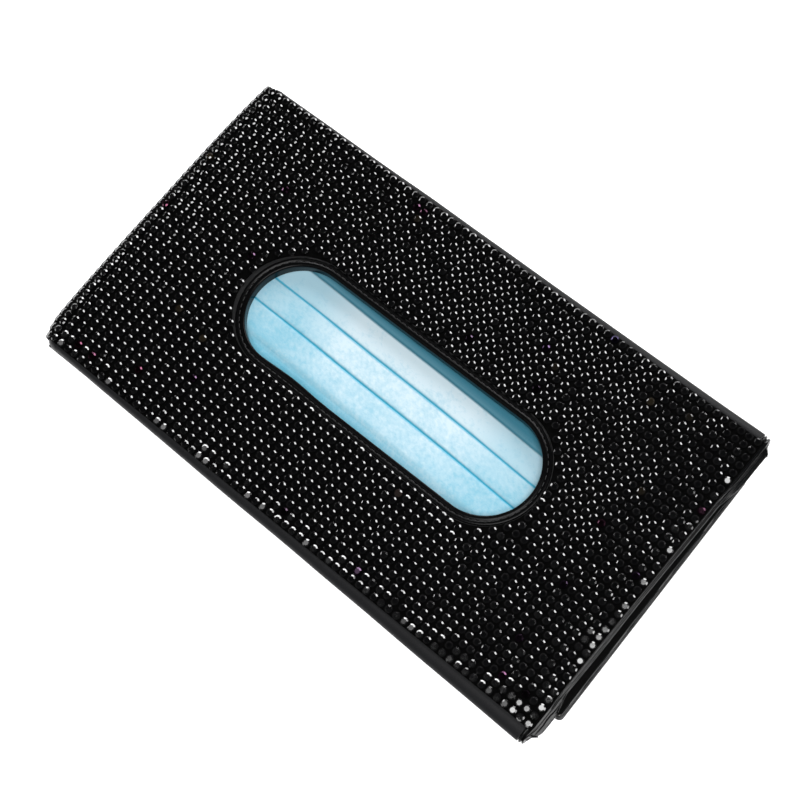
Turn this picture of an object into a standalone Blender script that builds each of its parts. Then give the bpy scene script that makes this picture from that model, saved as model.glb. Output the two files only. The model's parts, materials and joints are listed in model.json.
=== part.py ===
"""A stone-set tissue case for a car's sun visor, lying on its back, holding a pack of folded face masks.

X runs along the case, from the closed spine (-X) to the mouth (+X), Y across it, from the near long
edge (-Y) to the far one (+Y), and Z up from the two elastic straps that it lies on. Lengths are metres.
"""
import math

import bmesh
import bpy
from mathutils import Matrix, Vector

# Outside of the case
CASE_LENGTH = 0.230          # from the stones on the spine to the front panel's edge at the mouth
CASE_WIDTH = 0.1305          # over the two rolled long edges
GAP = 0.0003                 # glued or sewn plies that touch keep this between them
OVERRUN = 0.010              # how far a cutter runs past what it cuts

# Plies of the two panels
SKIN = 0.0008                # leather cloth
LINING = 0.0005
FRONT_BOARD = 0.0012
BACK_BOARD = 0.0010
POCKET_DEPTH = 0.0059        # clear height between the two linings

# Rolled long edges and the bound mouth edge
ROLL_WIDTH = 0.00475
ROLL_HEIGHT = 0.0060
ROLL_TOP_RADIUS = 0.0030
ROLL_BOTTOM_RADIUS = 0.0026
BINDING_WIDTH = 0.0023

# Sheet of stones
STONE_PITCH = 0.00341        # stones stand about this far apart, both ways
STONE_HEIGHT = 0.0012
STONE_BASE = 0.0006          # the sheet that the stones are set in
NEAR_MARGIN = 0.00285        # bare leather cloth between the sheet and the near long edge
FAR_MARGIN = 0.00195
MOUTH_MARGIN = 0.0005
SPINE_COLUMNS = 4            # columns of stones that go round the spine
BARE_SHARE = 0.25            # a place this share of a pitch from the rim, or nearer, has no stone

# Window and its bound rim
WINDOW_LENGTH = 0.127
WINDOW_WIDTH = 0.0386
RIM_WIDTH = 0.0036
RIM_WALL = 0.0012
RIM_PROUD = 0.0003           # how far the rim stands above the sheet that carries the stones

# Back panel, its gussets and the elastic straps
BACK_WIDTH = 0.106
BOARD_INSET = 0.0010
GUSSET_FLANGE = 0.0027
GUSSET_HEM = 0.0009
SPINE_WALL = 0.0012
STRAP_WIDTH = 0.025
STRAP_THICKNESS = 0.0012
STRAP_INSET = 0.0030
STRAP_FROM_SPINE = 0.057     # a strap's middle line, from the spine's centre and from the crease
STRAP_FROM_CREASE = 0.020

# Closing lip: the back panel's free end, which folds down about its crease
LIP_LENGTH = 0.045           # from the crease to below the front panel's edge
LIP_WIDTH = 0.1045
LIP_OFFSET = 0.0010          # the lip is sewn this far towards the near edge
LIP_REACH_NEAR = 0.0044      # how far it reaches past the front panel, at its near corner
LIP_REACH_FAR = 0.0022
LIP_DROOP = 0.0035           # how far the near corner hangs below the far one
LIP_HEM = 0.0015
LIP_CLEARANCE = 0.0003

# Magnets
MAGNET_RADIUS = 0.006
MAGNET_SPACING = 0.060
MAGNET_FROM_MOUTH = 0.016

# Folded face masks
MASK_COUNT = 4
MASK_WIDTH = 0.095
MASK_THICKNESS = 0.0011
MASK_TO_SPINE = 0.00145      # from the spine's centre
MASK_TO_CREASE = 0.0035
PLEAT_DEPTH = 0.0004
PLEAT_PITCH = 0.0104
PLEAT_RISE = 0.0006
PLEAT_TOP_EDGE = 0.0163      # the highest pleat's edge, from the mask's middle line
PLEAT_COUNT = 3
TOP_MASK_TURN_DEG = -1.4

ARC_STEPS = 12
CORNER_STEPS = 5
RIM_STEPS = 24
MAGNET_STEPS = 32
LIP_CELLS_ALONG = 6
LIP_CELLS_ACROSS = 10

# Heights, from the straps up
Z_BACK_SKIN = STRAP_THICKNESS + GAP
Z_BACK_BOARD = Z_BACK_SKIN + SKIN + GAP
Z_BACK_LINING = Z_BACK_BOARD + BACK_BOARD + GAP
Z_POCKET_FLOOR = Z_BACK_LINING + LINING
Z_POCKET_ROOF = Z_POCKET_FLOOR + POCKET_DEPTH
Z_FRONT_BOARD = Z_POCKET_ROOF + LINING + GAP
Z_FRONT_SKIN = Z_FRONT_BOARD + FRONT_BOARD + GAP
Z_SKIN_TOP = Z_FRONT_SKIN + SKIN
Z_STONE_BASE = Z_SKIN_TOP + GAP
Z_STONE_SEAT = Z_STONE_BASE + STONE_BASE
Z_STONE_TOP = Z_STONE_SEAT + STONE_HEIGHT
Z_ROLL_BOTTOM = Z_SKIN_TOP - ROLL_HEIGHT

# The spine's half round, whose outside is level with both skins
SPINE_RADIUS = (Z_SKIN_TOP - Z_BACK_SKIN) / 2
Z_SPINE = (Z_SKIN_TOP + Z_BACK_SKIN) / 2

# Places along and across the case
X_END = (CASE_LENGTH + LIP_REACH_NEAR) / 2
X_MOUTH = X_END - LIP_REACH_NEAR
X_START = X_MOUTH - CASE_LENGTH
X_SPINE = X_START + STONE_HEIGHT + STONE_BASE + GAP + SPINE_RADIUS
X_CREASE = X_MOUTH - LIP_LENGTH
X_BINDING = X_MOUTH - BINDING_WIDTH
X_MIDDLE = (X_START + X_MOUTH) / 2
X_MAGNET = X_MOUTH - MAGNET_FROM_MOUTH
HALF_WIDTH = CASE_WIDTH / 2
HALF_INSIDE = HALF_WIDTH - ROLL_WIDTH
HALF_PLY = HALF_INSIDE - GAP
HALF_BACK = BACK_WIDTH / 2

# The lip lies tilted up, so that its far corner just clears the front panel's lining
LIP_STACK = SKIN + GAP + BACK_BOARD + GAP + LINING
LIP_RISE = Z_POCKET_ROOF - LIP_CLEARANCE - LIP_STACK - Z_BACK_SKIN
LIP_TILT = math.asin(LIP_RISE / LIP_LENGTH)

BLACK_SKIN = ("leather_cloth", (0.018, 0.018, 0.020), 0.45, 0.0)
BLACK_LINING = ("lining_cloth", (0.012, 0.012, 0.013), 0.85, 0.0)
GREY_BOARD = ("grey_board", (0.28, 0.26, 0.24), 0.90, 0.0)
BLACK_STONES = ("black_stones", (0.006, 0.006, 0.007), 0.08, 0.0)
BLACK_ELASTIC = ("black_elastic", (0.015, 0.015, 0.016), 0.80, 0.0)
NICKEL = ("nickel", (0.62, 0.60, 0.57), 0.30, 1.0)
BLUE_FLEECE = ("blue_fleece", (0.42, 0.72, 0.84), 0.90, 0.0)


def make_collection(name):
    """A new collection, linked to the scene."""
    collection = bpy.data.collections.new(name)
    bpy.context.scene.collection.children.link(collection)
    return collection


def material(look):
    """The Principled material of a look: its name, colour, roughness and metallic value."""
    name, colour, roughness, metallic = look
    made = bpy.data.materials.get(name)
    if made is None:
        made = bpy.data.materials.new(name)
        made.use_nodes = True
        shader = made.node_tree.nodes["Principled BSDF"]
        shader.inputs["Base Color"].default_value = (*colour, 1.0)
        shader.inputs["Roughness"].default_value = roughness
        shader.inputs["Metallic"].default_value = metallic
    return made


def add_object(name, mesh, look):
    """A sub-part of the case with its material."""
    made = bpy.data.objects.new(name, mesh)
    mesh.materials.append(material(look))
    CASE.objects.link(made)
    return made


def add_cutter(name, mesh):
    """A shape that only cuts others."""
    made = bpy.data.objects.new(name, mesh)
    made.hide_render = True
    made.display_type = "WIRE"
    CUTTERS.objects.link(made)
    return made


def boolean(target, cutter, operation):
    """Cut the target with the cutter, or keep only what both hold."""
    modifier = target.modifiers.new(cutter.name, "BOOLEAN")
    modifier.object = cutter
    modifier.operation = operation
    modifier.solver = "EXACT"


def apply_modifiers(target):
    """Give the object its evaluated mesh and drop its modifiers."""
    graph = bpy.context.evaluated_depsgraph_get()
    graph.update()
    mesh = bpy.data.meshes.new_from_object(target.evaluated_get(graph))
    target.modifiers.clear()
    target.data = mesh


def prism(name, loops, low, high, axis):
    """The mesh of flat outlines, the first with the others as holes, from low to high along an axis.

    A loop's points are (x, y) for axis z, (x, z) for axis y and (y, z) for axis x.
    """
    curve = bpy.data.curves.new(name, "CURVE")
    curve.dimensions = "2D"
    curve.fill_mode = "BOTH"
    curve.extrude = (high - low) / 2
    for loop in loops:
        spline = curve.splines.new("POLY")
        spline.points.add(len(loop) - 1)
        for point, (a, b) in zip(spline.points, loop):
            point.co = (a, b, 0.0, 1.0)
        spline.use_cyclic_u = True
    holder = bpy.data.objects.new(name, curve)
    bpy.context.scene.collection.objects.link(holder)
    graph = bpy.context.evaluated_depsgraph_get()
    graph.update()
    mesh = bpy.data.meshes.new_from_object(holder.evaluated_get(graph))
    bpy.data.objects.remove(holder)
    bpy.data.curves.remove(curve)

    middle = (low + high) / 2
    order = {"z": (0, 1, 2), "y": (0, 2, 1), "x": (2, 0, 1)}[axis]
    bm = bmesh.new()
    bm.from_mesh(mesh)
    for vert in bm.verts:
        spot = (vert.co.x, vert.co.y, vert.co.z + middle)
        vert.co = Vector(spot[i] for i in order)
    bmesh.ops.remove_doubles(bm, verts=bm.verts, dist=GAP / 100)
    bmesh.ops.recalc_face_normals(bm, faces=bm.faces)
    bm.to_mesh(mesh)
    bm.free()
    return mesh


def arc(centre, radius, start_deg, end_deg, steps):
    """Points round an arc, both ends included."""
    points = []
    for i in range(steps + 1):
        angle = math.radians(start_deg + (end_deg - start_deg) * i / steps)
        points.append((centre[0] + radius * math.cos(angle), centre[1] + radius * math.sin(angle)))
    return points


def rectangle(x_low, x_high, y_low, y_high):
    """A rectangle's corners."""
    return [(x_low, y_low), (x_high, y_low), (x_high, y_high), (x_low, y_high)]


def circle(x, y, radius, steps):
    """Points round a circle."""
    return arc((x, y), radius, 0.0, 360.0, steps)[:-1]


def window_loop(offset):
    """The window's outline, a slot with round ends, moved outwards by the offset."""
    radius = WINDOW_WIDTH / 2 + offset
    run = (WINDOW_LENGTH - WINDOW_WIDTH) / 2
    right = arc((X_MIDDLE + run, 0.0), radius, -90.0, 90.0, RIM_STEPS)
    left = arc((X_MIDDLE - run, 0.0), radius, 90.0, 270.0, RIM_STEPS)
    return right + left


def magnet_loops(grow):
    """Outlines of the two magnets in the front panel, or of their holes."""
    half = MAGNET_SPACING / 2
    return [circle(X_MAGNET, side * half, MAGNET_RADIUS + grow, MAGNET_STEPS) for side in (-1, 1)]


def roll_outline(side):
    """A rolled edge seen from the mouth, from its inner foot round the outside to its inner top."""
    outer = HALF_WIDTH
    low = (outer - ROLL_BOTTOM_RADIUS, Z_ROLL_BOTTOM + ROLL_BOTTOM_RADIUS)
    high = (outer - ROLL_TOP_RADIUS, Z_SKIN_TOP - ROLL_TOP_RADIUS)
    points = [(HALF_INSIDE, Z_ROLL_BOTTOM)]
    points += arc(low, ROLL_BOTTOM_RADIUS, -90.0, 0.0, CORNER_STEPS)
    points += arc(high, ROLL_TOP_RADIUS, 0.0, 90.0, CORNER_STEPS)
    points.append((HALF_INSIDE, Z_SKIN_TOP))
    return [(side * y, z) for y, z in points]


def gusset_line():
    """The gusset's outer face seen from the mouth, from under the roll down to the back panel."""
    top = Z_ROLL_BOTTOM - GAP
    foot = HALF_BACK + GAP
    shoulder = HALF_INSIDE + SKIN
    return [
        (shoulder + GUSSET_FLANGE, top),
        (shoulder, top),
        (foot + GUSSET_HEM, Z_BACK_SKIN + SKIN),
        (foot, Z_BACK_SKIN + SKIN),
    ]


def side_outline(radius):
    """The case seen from the side: half round at the spine, square past the mouth."""
    end = X_MOUTH + OVERRUN
    points = arc((X_SPINE, Z_SPINE), radius, 90.0, 270.0, 2 * ARC_STEPS)
    return points + [(end, Z_SPINE - radius), (end, Z_SPINE + radius)]


def build_front_panel():
    """The front panel's plies: skin, board and lining, each with the window cut out."""
    x_low = X_SPINE + GAP
    x_high = X_BINDING - GAP
    window = window_loop(RIM_WALL + GAP)
    outline = rectangle(x_low, x_high, -HALF_PLY, HALF_PLY)
    skin = prism("front_skin", [outline, window], Z_FRONT_SKIN, Z_SKIN_TOP, "z")
    add_object("front_skin", skin, BLACK_SKIN)
    board = prism(
        "front_board",
        [outline, window] + magnet_loops(GAP),
        Z_FRONT_BOARD,
        Z_FRONT_BOARD + FRONT_BOARD,
        "z",
    )
    add_object("front_board", board, GREY_BOARD)
    lining = prism("front_lining", [outline, window], Z_POCKET_ROOF, Z_POCKET_ROOF + LINING, "z")
    add_object("front_lining", lining, BLACK_LINING)
    for name, loop in zip(("near", "far"), magnet_loops(0.0)):
        node = f"front_magnet_{name}"
        disc = prism(node, [loop], Z_FRONT_BOARD, Z_FRONT_BOARD + FRONT_BOARD, "z")
        add_object(node, disc, NICKEL)


def build_window_rim():
    """The rim: a wall through the front panel's plies with a rounded flange on top."""
    wall_foot = Z_POCKET_ROOF
    top = Z_STONE_SEAT + RIM_PROUD
    flange = Z_STONE_BASE
    round_in = RIM_WALL / 2
    thick = top - flange
    section = [(0.0, wall_foot), (RIM_WALL, wall_foot), (RIM_WALL, flange), (RIM_WIDTH, flange)]
    section += arc((RIM_WIDTH - thick / 2, flange + thick / 2), thick / 2, 0.0, 90.0, CORNER_STEPS)
    section += arc((round_in, top - round_in), round_in, 90.0, 180.0, CORNER_STEPS)
    bm = bmesh.new()
    rings = []
    for offset, height in section:
        rings.append([bm.verts.new((x, y, height)) for x, y in window_loop(offset)])
    for this_ring, next_ring in zip(rings, rings[1:] + rings[:1]):
        count = len(this_ring)
        for i in range(count):
            j = (i + 1) % count
            bm.faces.new((this_ring[i], this_ring[j], next_ring[j], next_ring[i]))
    bmesh.ops.recalc_face_normals(bm, faces=bm.faces)
    mesh = bpy.data.meshes.new("window_rim")
    bm.to_mesh(mesh)
    bm.free()
    add_object("window_rim", mesh, BLACK_SKIN)


def build_edges():
    """The two rolled long edges, rounded off at the spine, and the binding round the mouth."""
    profile = add_cutter(
        "roll_side_profile",
        prism("roll_side_profile", [side_outline(SPINE_RADIUS)], -CASE_WIDTH, CASE_WIDTH, "y"),
    )
    for name, side in (("near", -1), ("far", 1)):
        node = f"{name}_edge_roll"
        mesh = prism(node, [roll_outline(side)], X_START, X_BINDING - GAP, "x")
        boolean(add_object(node, mesh, BLACK_SKIN), profile, "INTERSECT")
    outline = roll_outline(1)
    outline = outline[:-1] + [(-y, z) for y, z in reversed(outline[:-1])]
    outline += [(-HALF_INSIDE, Z_POCKET_ROOF), (HALF_INSIDE, Z_POCKET_ROOF)]
    binding = prism("mouth_binding", [outline], X_BINDING, X_MOUTH, "x")
    add_object("mouth_binding", binding, BLACK_SKIN)


def beyond_rim(x, y):
    """How far a place on the sheet lies outside the rim, or less than zero within it."""
    run = (WINDOW_LENGTH - WINDOW_WIDTH) / 2
    past = max(abs(x - X_MIDDLE) - run, 0.0)
    return math.hypot(past, y) - (WINDOW_WIDTH / 2 + RIM_WIDTH + GAP)


def move_to_rim(vert):
    """Move a corner at the sheet's window straight to the outline that fits round the rim."""
    run = (WINDOW_LENGTH - WINDOW_WIDTH) / 2
    nearest = min(max(vert.co.x, X_MIDDLE - run), X_MIDDLE + run)
    out = Vector((vert.co.x - nearest, vert.co.y, 0.0)).normalized()
    vert.co -= out * beyond_rim(vert.co.x, vert.co.y)


def bend_round_spine(vert, seat_radius):
    """Carry a point of the flat sheet round the spine, at its height over the skin."""
    past = X_SPINE - vert.co.x
    if past > 0.0:
        angle = math.pi / 2 + past / seat_radius
        radius = SPINE_RADIUS + vert.co.z - Z_SKIN_TOP
        vert.co.x = X_SPINE + radius * math.cos(angle)
        vert.co.z = Z_SPINE + radius * math.sin(angle)


def build_stone_sheet():
    """The sheet of stones, each a low pyramid in a square grid, laid on the front and round the spine."""
    x_high = X_MOUTH - MOUTH_MARGIN
    y_near = NEAR_MARGIN - HALF_WIDTH
    y_far = HALF_WIDTH - FAR_MARGIN
    columns = round((x_high - X_SPINE) / STONE_PITCH)
    rows = round((y_far - y_near) / STONE_PITCH)
    step = (x_high - X_SPINE) / columns
    x_low = X_SPINE - SPINE_COLUMNS * step

    bm = bmesh.new()
    bmesh.ops.create_grid(bm, x_segments=columns + SPINE_COLUMNS, y_segments=rows, size=0.5)
    for vert in bm.verts:
        vert.co.x = x_low + (x_high - x_low) * (vert.co.x + 0.5)
        vert.co.y = y_near + (y_far - y_near) * (vert.co.y + 0.5)
        vert.co.z = Z_STONE_SEAT
    bare = BARE_SHARE * step
    space = {face: beyond_rim(*face.calc_center_median().xy) for face in bm.faces}
    inside = [face for face in bm.faces if space[face] < -bare]
    stones = [face for face in bm.faces if space[face] > bare]
    bmesh.ops.delete(bm, geom=inside, context="FACES")
    for vert in bm.verts:
        if vert.is_boundary and beyond_rim(vert.co.x, vert.co.y) < step:
            move_to_rim(vert)

    base = bmesh.ops.extrude_face_region(bm, geom=bm.faces[:], use_keep_orig=True)
    under = [item for item in base["geom"] if isinstance(item, bmesh.types.BMVert)]
    for vert in under:
        vert.co.z = Z_STONE_BASE
    bmesh.ops.recalc_face_normals(bm, faces=bm.faces)
    flat = [vert for vert in under if vert.co.x > X_SPINE + bare]
    edges = {edge for vert in flat for edge in vert.link_edges}
    bmesh.ops.dissolve_limit(bm, angle_limit=math.radians(1.0), verts=flat, edges=list(edges))
    bmesh.ops.poke(bm, faces=stones, offset=STONE_HEIGHT, center_mode="MEAN")
    seat_radius = SPINE_RADIUS + GAP + STONE_BASE
    for vert in bm.verts:
        bend_round_spine(vert, seat_radius)
    mesh = bpy.data.meshes.new("stone_sheet")
    bm.to_mesh(mesh)
    bm.free()
    add_object("stone_sheet", mesh, BLACK_STONES)


def build_spine():
    """The spine's half-round shell, narrowed below to fit between the gussets."""
    inner = SPINE_RADIUS - SPINE_WALL
    outline = arc((X_SPINE, Z_SPINE), SPINE_RADIUS, 90.0, 270.0, 2 * ARC_STEPS)
    outline += arc((X_SPINE, Z_SPINE), inner, 270.0, 90.0, 2 * ARC_STEPS)
    shell = add_object("spine", prism("spine", [outline], -HALF_PLY, HALF_PLY, "y"), BLACK_SKIN)

    line = gusset_line()
    run = line[1][0] - line[2][0]
    rise = line[1][1] - line[2][1]
    shift = 2 * GAP * math.hypot(run, rise) / rise
    foot = HALF_BACK
    z_foot = line[2][1] + (foot + shift - line[2][0]) * rise / run
    z_shoulder = line[2][1] + (HALF_PLY + shift - line[2][0]) * rise / run
    top = Z_SKIN_TOP + OVERRUN
    low = Z_BACK_SKIN - OVERRUN
    half = [(foot, low), (foot, z_foot), (HALF_PLY + GAP, z_shoulder), (HALF_PLY + GAP, top)]
    section = half + [(-y, z) for y, z in reversed(half)]
    fit = prism("spine_fit", [section], X_START - OVERRUN, X_SPINE + OVERRUN, "x")
    boolean(shell, add_cutter("spine_fit", fit), "INTERSECT")


def build_gussets():
    """Soft side walls that lean in from the rolled edges to the narrower back panel."""
    taper_foot = Z_BACK_SKIN + 2 * SKIN
    taper_top = Z_ROLL_BOTTOM - SKIN
    outline = arc((X_SPINE, Z_SPINE), SPINE_RADIUS, 180.0, 270.0, ARC_STEPS)
    outline += [
        (X_CREASE - GAP, Z_SPINE - SPINE_RADIUS),
        (X_CREASE - GAP, taper_foot),
        (X_BINDING - GAP, taper_top),
        (X_BINDING - GAP, Z_SPINE),
    ]
    profile = add_cutter(
        "gusset_side_profile",
        prism("gusset_side_profile", [outline], -CASE_WIDTH, CASE_WIDTH, "y"),
    )
    for name, side in (("near", -1), ("far", 1)):
        node = f"{name}_gusset"
        line = [(side * y, z) for y, z in gusset_line()]
        bm = bmesh.new()
        start = [bm.verts.new((X_START - OVERRUN, y, z)) for y, z in line]
        end = [bm.verts.new((X_MOUTH + OVERRUN, y, z)) for y, z in line]
        for i in range(len(line) - 1):
            corners = (start[i], start[i + 1], end[i + 1], end[i])
            bm.faces.new(corners if side > 0 else corners[::-1])
        mesh = bpy.data.meshes.new(node)
        bm.to_mesh(mesh)
        bm.free()
        wall = add_object(node, mesh, BLACK_SKIN)
        solid = wall.modifiers.new("ply", "SOLIDIFY")
        solid.thickness = SKIN
        solid.offset = -1.0
        solid.use_even_offset = True
        boolean(wall, profile, "INTERSECT")


def build_back_panel():
    """The back panel's skin, board and lining, and the elastic straps sewn across it."""
    x_low = X_SPINE + GAP
    x_high = X_CREASE - GAP
    skin = rectangle(x_low, x_high, -HALF_BACK, HALF_BACK)
    inner = rectangle(x_low, x_high - BOARD_INSET, BOARD_INSET - HALF_BACK, HALF_BACK - BOARD_INSET)
    plies = (
        ("back_skin", skin, Z_BACK_SKIN, SKIN, BLACK_SKIN),
        ("back_board", inner, Z_BACK_BOARD, BACK_BOARD, GREY_BOARD),
        ("back_lining", inner, Z_BACK_LINING, LINING, BLACK_LINING),
    )
    for node, outline, low, thickness, look in plies:
        add_object(node, prism(node, [outline], low, low + thickness, "z"), look)
    reach = HALF_BACK - STRAP_INSET
    for name, x in (("spine", X_SPINE + STRAP_FROM_SPINE), ("mouth", X_CREASE - STRAP_FROM_CREASE)):
        node = f"{name}_strap"
        outline = rectangle(x - STRAP_WIDTH / 2, x + STRAP_WIDTH / 2, -reach, reach)
        add_object(node, prism(node, [outline], 0.0, STRAP_THICKNESS, "z"), BLACK_ELASTIC)


def lip_ply(low, thickness, start, side_hem, end_hem):
    """One ply of the flat lip, from the crease at x = 0, in cells so that it can droop."""
    y_near = -LIP_OFFSET - LIP_WIDTH / 2 + side_hem
    y_far = -LIP_OFFSET + LIP_WIDTH / 2 - side_hem
    fall = LIP_DROOP / LIP_LENGTH * math.sin(LIP_TILT)
    near_end = (LIP_LENGTH + LIP_REACH_NEAR) / (math.cos(LIP_TILT) + fall) - end_hem
    far_end = (LIP_LENGTH + LIP_REACH_FAR) / math.cos(LIP_TILT) - end_hem
    bm = bmesh.new()
    bmesh.ops.create_grid(bm, x_segments=LIP_CELLS_ALONG, y_segments=LIP_CELLS_ACROSS, size=0.5)
    for vert in bm.verts:
        along = vert.co.x + 0.5
        across = vert.co.y + 0.5
        end = near_end + (far_end - near_end) * across
        vert.co = (start + (end - start) * along, y_near + (y_far - y_near) * across, low)
    made = bmesh.ops.extrude_face_region(bm, geom=bm.faces[:])
    for item in made["geom"]:
        if isinstance(item, bmesh.types.BMVert):
            item.co.z += thickness
    bmesh.ops.recalc_face_normals(bm, faces=bm.faces)
    mesh = bpy.data.meshes.new("lip_ply")
    bm.to_mesh(mesh)
    bm.free()
    return mesh


def droop_and_tilt(mesh):
    """Let the lip's near corner hang, then tilt the lip up about its crease."""
    tilt = Matrix.Rotation(-LIP_TILT, 4, "Y")
    place = Matrix.Translation((X_CREASE, 0.0, Z_BACK_SKIN)) @ tilt
    far_edge = -LIP_OFFSET + LIP_WIDTH / 2
    for vert in mesh.vertices:
        across = (far_edge - vert.co.y) / LIP_WIDTH
        vert.co.z -= LIP_DROOP * across * vert.co.x / LIP_LENGTH
    mesh.transform(place)


def build_lip():
    """The closing lip's skin, board and lining, and the two magnets in its board."""
    z_board = SKIN + GAP
    z_lining = z_board + BACK_BOARD + GAP
    board_start = LIP_STACK / 2
    skin = lip_ply(0.0, SKIN, GAP, 0.0, 0.0)
    board = lip_ply(z_board, BACK_BOARD, board_start, LIP_HEM, LIP_HEM)
    lining = lip_ply(z_lining, LINING, board_start, LIP_HEM / 2, LIP_HEM / 2)
    lip_skin = add_object("lip_skin", skin, BLACK_SKIN)
    lip_board = add_object("lip_board", board, GREY_BOARD)
    lip_lining = add_object("lip_lining", lining, BLACK_LINING)
    moved = [lip_skin, lip_board, lip_lining]

    along = (X_MAGNET - X_CREASE) / math.cos(LIP_TILT)
    for name, side in (("near", -1), ("far", 1)):
        y = side * MAGNET_SPACING / 2
        hole = prism(
            f"lip_hole_{name}",
            [circle(along, y, MAGNET_RADIUS + GAP, MAGNET_STEPS)],
            z_board - OVERRUN,
            z_board + OVERRUN,
            "z",
        )
        boolean(lip_board, add_cutter(f"lip_hole_{name}", hole), "DIFFERENCE")
        node = f"lip_magnet_{name}"
        outline = circle(along, y, MAGNET_RADIUS, MAGNET_STEPS)
        moved.append(add_object(node, prism(node, [outline], z_board, z_lining - GAP, "z"), NICKEL))
    apply_modifiers(lip_board)
    for piece in moved:
        droop_and_tilt(piece.data)


def mask_section():
    """A mask seen from its end: flat below, with its pleats stepping down towards the near side."""
    half = MASK_WIDTH / 2
    rim = MASK_THICKNESS - PLEAT_DEPTH
    points = [(-half, 0.0), (half, 0.0), (half, rim)]
    edge = PLEAT_TOP_EDGE
    for _ in range(PLEAT_COUNT):
        points += [(edge, rim), (edge - PLEAT_RISE, MASK_THICKNESS)]
        edge -= PLEAT_PITCH
    points += [(edge, rim), (-half, rim)]
    return points


def build_masks():
    """The pack of masks, stacked on the back lining between the spine and the crease."""
    x_low = X_SPINE + MASK_TO_SPINE
    x_high = X_CREASE - MASK_TO_CREASE
    pitch = (POCKET_DEPTH - GAP) / MASK_COUNT
    middle = Vector(((x_low + x_high) / 2, 0.0, 0.0))
    for i in range(MASK_COUNT):
        node = f"mask_{MASK_COUNT - i}"
        low = Z_POCKET_FLOOR + GAP + i * pitch
        mesh = prism(node, [mask_section()], x_low, x_high, "x")
        turn = TOP_MASK_TURN_DEG if i == MASK_COUNT - 1 else 0.0
        spin = Matrix.Rotation(math.radians(turn), 4, "Z")
        mesh.transform(Matrix.Translation(middle) @ spin @ Matrix.Translation(-middle))
        mesh.transform(Matrix.Translation((0.0, 0.0, low)))
        add_object(node, mesh, BLUE_FLEECE)


for old in list(bpy.data.objects):
    bpy.data.objects.remove(old, do_unlink=True)
CASE = make_collection("visor_tissue_case")
CUTTERS = make_collection("cutters")
build_front_panel()
build_window_rim()
build_edges()
build_stone_sheet()
build_spine()
build_gussets()
build_back_panel()
build_lip()
build_masks()
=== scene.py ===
"""The looks of a stone-set tissue case for a car's sun visor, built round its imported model.

X runs from the closed spine to the mouth, Y from the near long edge to the far one, and Z up from the
straps that the case lies on. Lengths are metres.
"""
import json
import math
import random

import bmesh
import bpy
from mathutils import Matrix, Vector


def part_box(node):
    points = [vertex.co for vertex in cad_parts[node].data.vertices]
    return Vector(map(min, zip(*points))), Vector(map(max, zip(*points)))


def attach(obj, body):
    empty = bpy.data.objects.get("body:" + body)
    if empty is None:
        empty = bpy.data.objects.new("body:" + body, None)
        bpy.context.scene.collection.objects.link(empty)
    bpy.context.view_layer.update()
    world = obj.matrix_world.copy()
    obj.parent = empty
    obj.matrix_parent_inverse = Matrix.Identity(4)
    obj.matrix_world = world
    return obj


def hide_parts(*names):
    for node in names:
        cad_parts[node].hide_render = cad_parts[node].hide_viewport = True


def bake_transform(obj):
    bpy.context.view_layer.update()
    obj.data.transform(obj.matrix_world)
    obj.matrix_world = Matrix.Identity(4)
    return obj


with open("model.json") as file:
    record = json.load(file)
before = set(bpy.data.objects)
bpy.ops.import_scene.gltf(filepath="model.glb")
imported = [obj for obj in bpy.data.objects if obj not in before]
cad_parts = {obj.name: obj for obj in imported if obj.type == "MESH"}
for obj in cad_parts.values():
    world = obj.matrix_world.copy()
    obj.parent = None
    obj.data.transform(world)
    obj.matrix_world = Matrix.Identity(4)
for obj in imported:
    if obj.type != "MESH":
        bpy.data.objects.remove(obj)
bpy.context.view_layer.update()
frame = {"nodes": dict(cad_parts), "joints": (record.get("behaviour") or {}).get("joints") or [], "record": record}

MM = 0.001
CLEAR = 0.3 * MM             # plies that touch keep this between them

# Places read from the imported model
SHEET_LOW, SHEET_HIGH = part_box("stone_sheet")
SKIN_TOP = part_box("front_skin")[1].z
BACK_LOW, BACK_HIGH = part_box("back_skin")
ROOF_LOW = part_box("front_lining")[0]
FLOOR_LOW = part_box("back_lining")[0]
RIM_LOW, RIM_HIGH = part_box("window_rim")
BINDING_LOW, BINDING_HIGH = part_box("mouth_binding")
SPINE_LOW, SPINE_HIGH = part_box("spine")
ROLL_LOW, ROLL_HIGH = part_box("near_edge_roll")
LIP_LOW, LIP_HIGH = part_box("lip_skin")
CREASE = Vector(frame["joints"][0]["pos_m"])

X_SPINE = BACK_LOW.x - CLEAR
SPINE_RADIUS = (SPINE_HIGH.z - SPINE_LOW.z) / 2
Z_SPINE = (SPINE_HIGH.z + SPINE_LOW.z) / 2
X_MOUTH = BINDING_HIGH.x
BED_THICK = 0.6 * MM         # the sheet that the stones are set in
STONE_SEAT = SKIN_TOP + CLEAR + BED_THICK
HALF_WIDTH = BINDING_HIGH.y
ROLL_WIDTH = 4.75 * MM
HALF_INSIDE = HALF_WIDTH - ROLL_WIDTH
HALF_BACK = BACK_HIGH.y
X_MIDDLE = (RIM_LOW.x + RIM_HIGH.x) / 2
RIM_WIDTH = 3.6 * MM
WINDOW_HALF = (RIM_HIGH.y - RIM_LOW.y) / 2 - RIM_WIDTH
WINDOW_RUN = (RIM_HIGH.x - RIM_LOW.x - (RIM_HIGH.y - RIM_LOW.y)) / 2


def sums(operation):
    """A way of adding one Math node to a wire."""
    return lambda wire, *others: wire.math(operation, *others)


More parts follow.
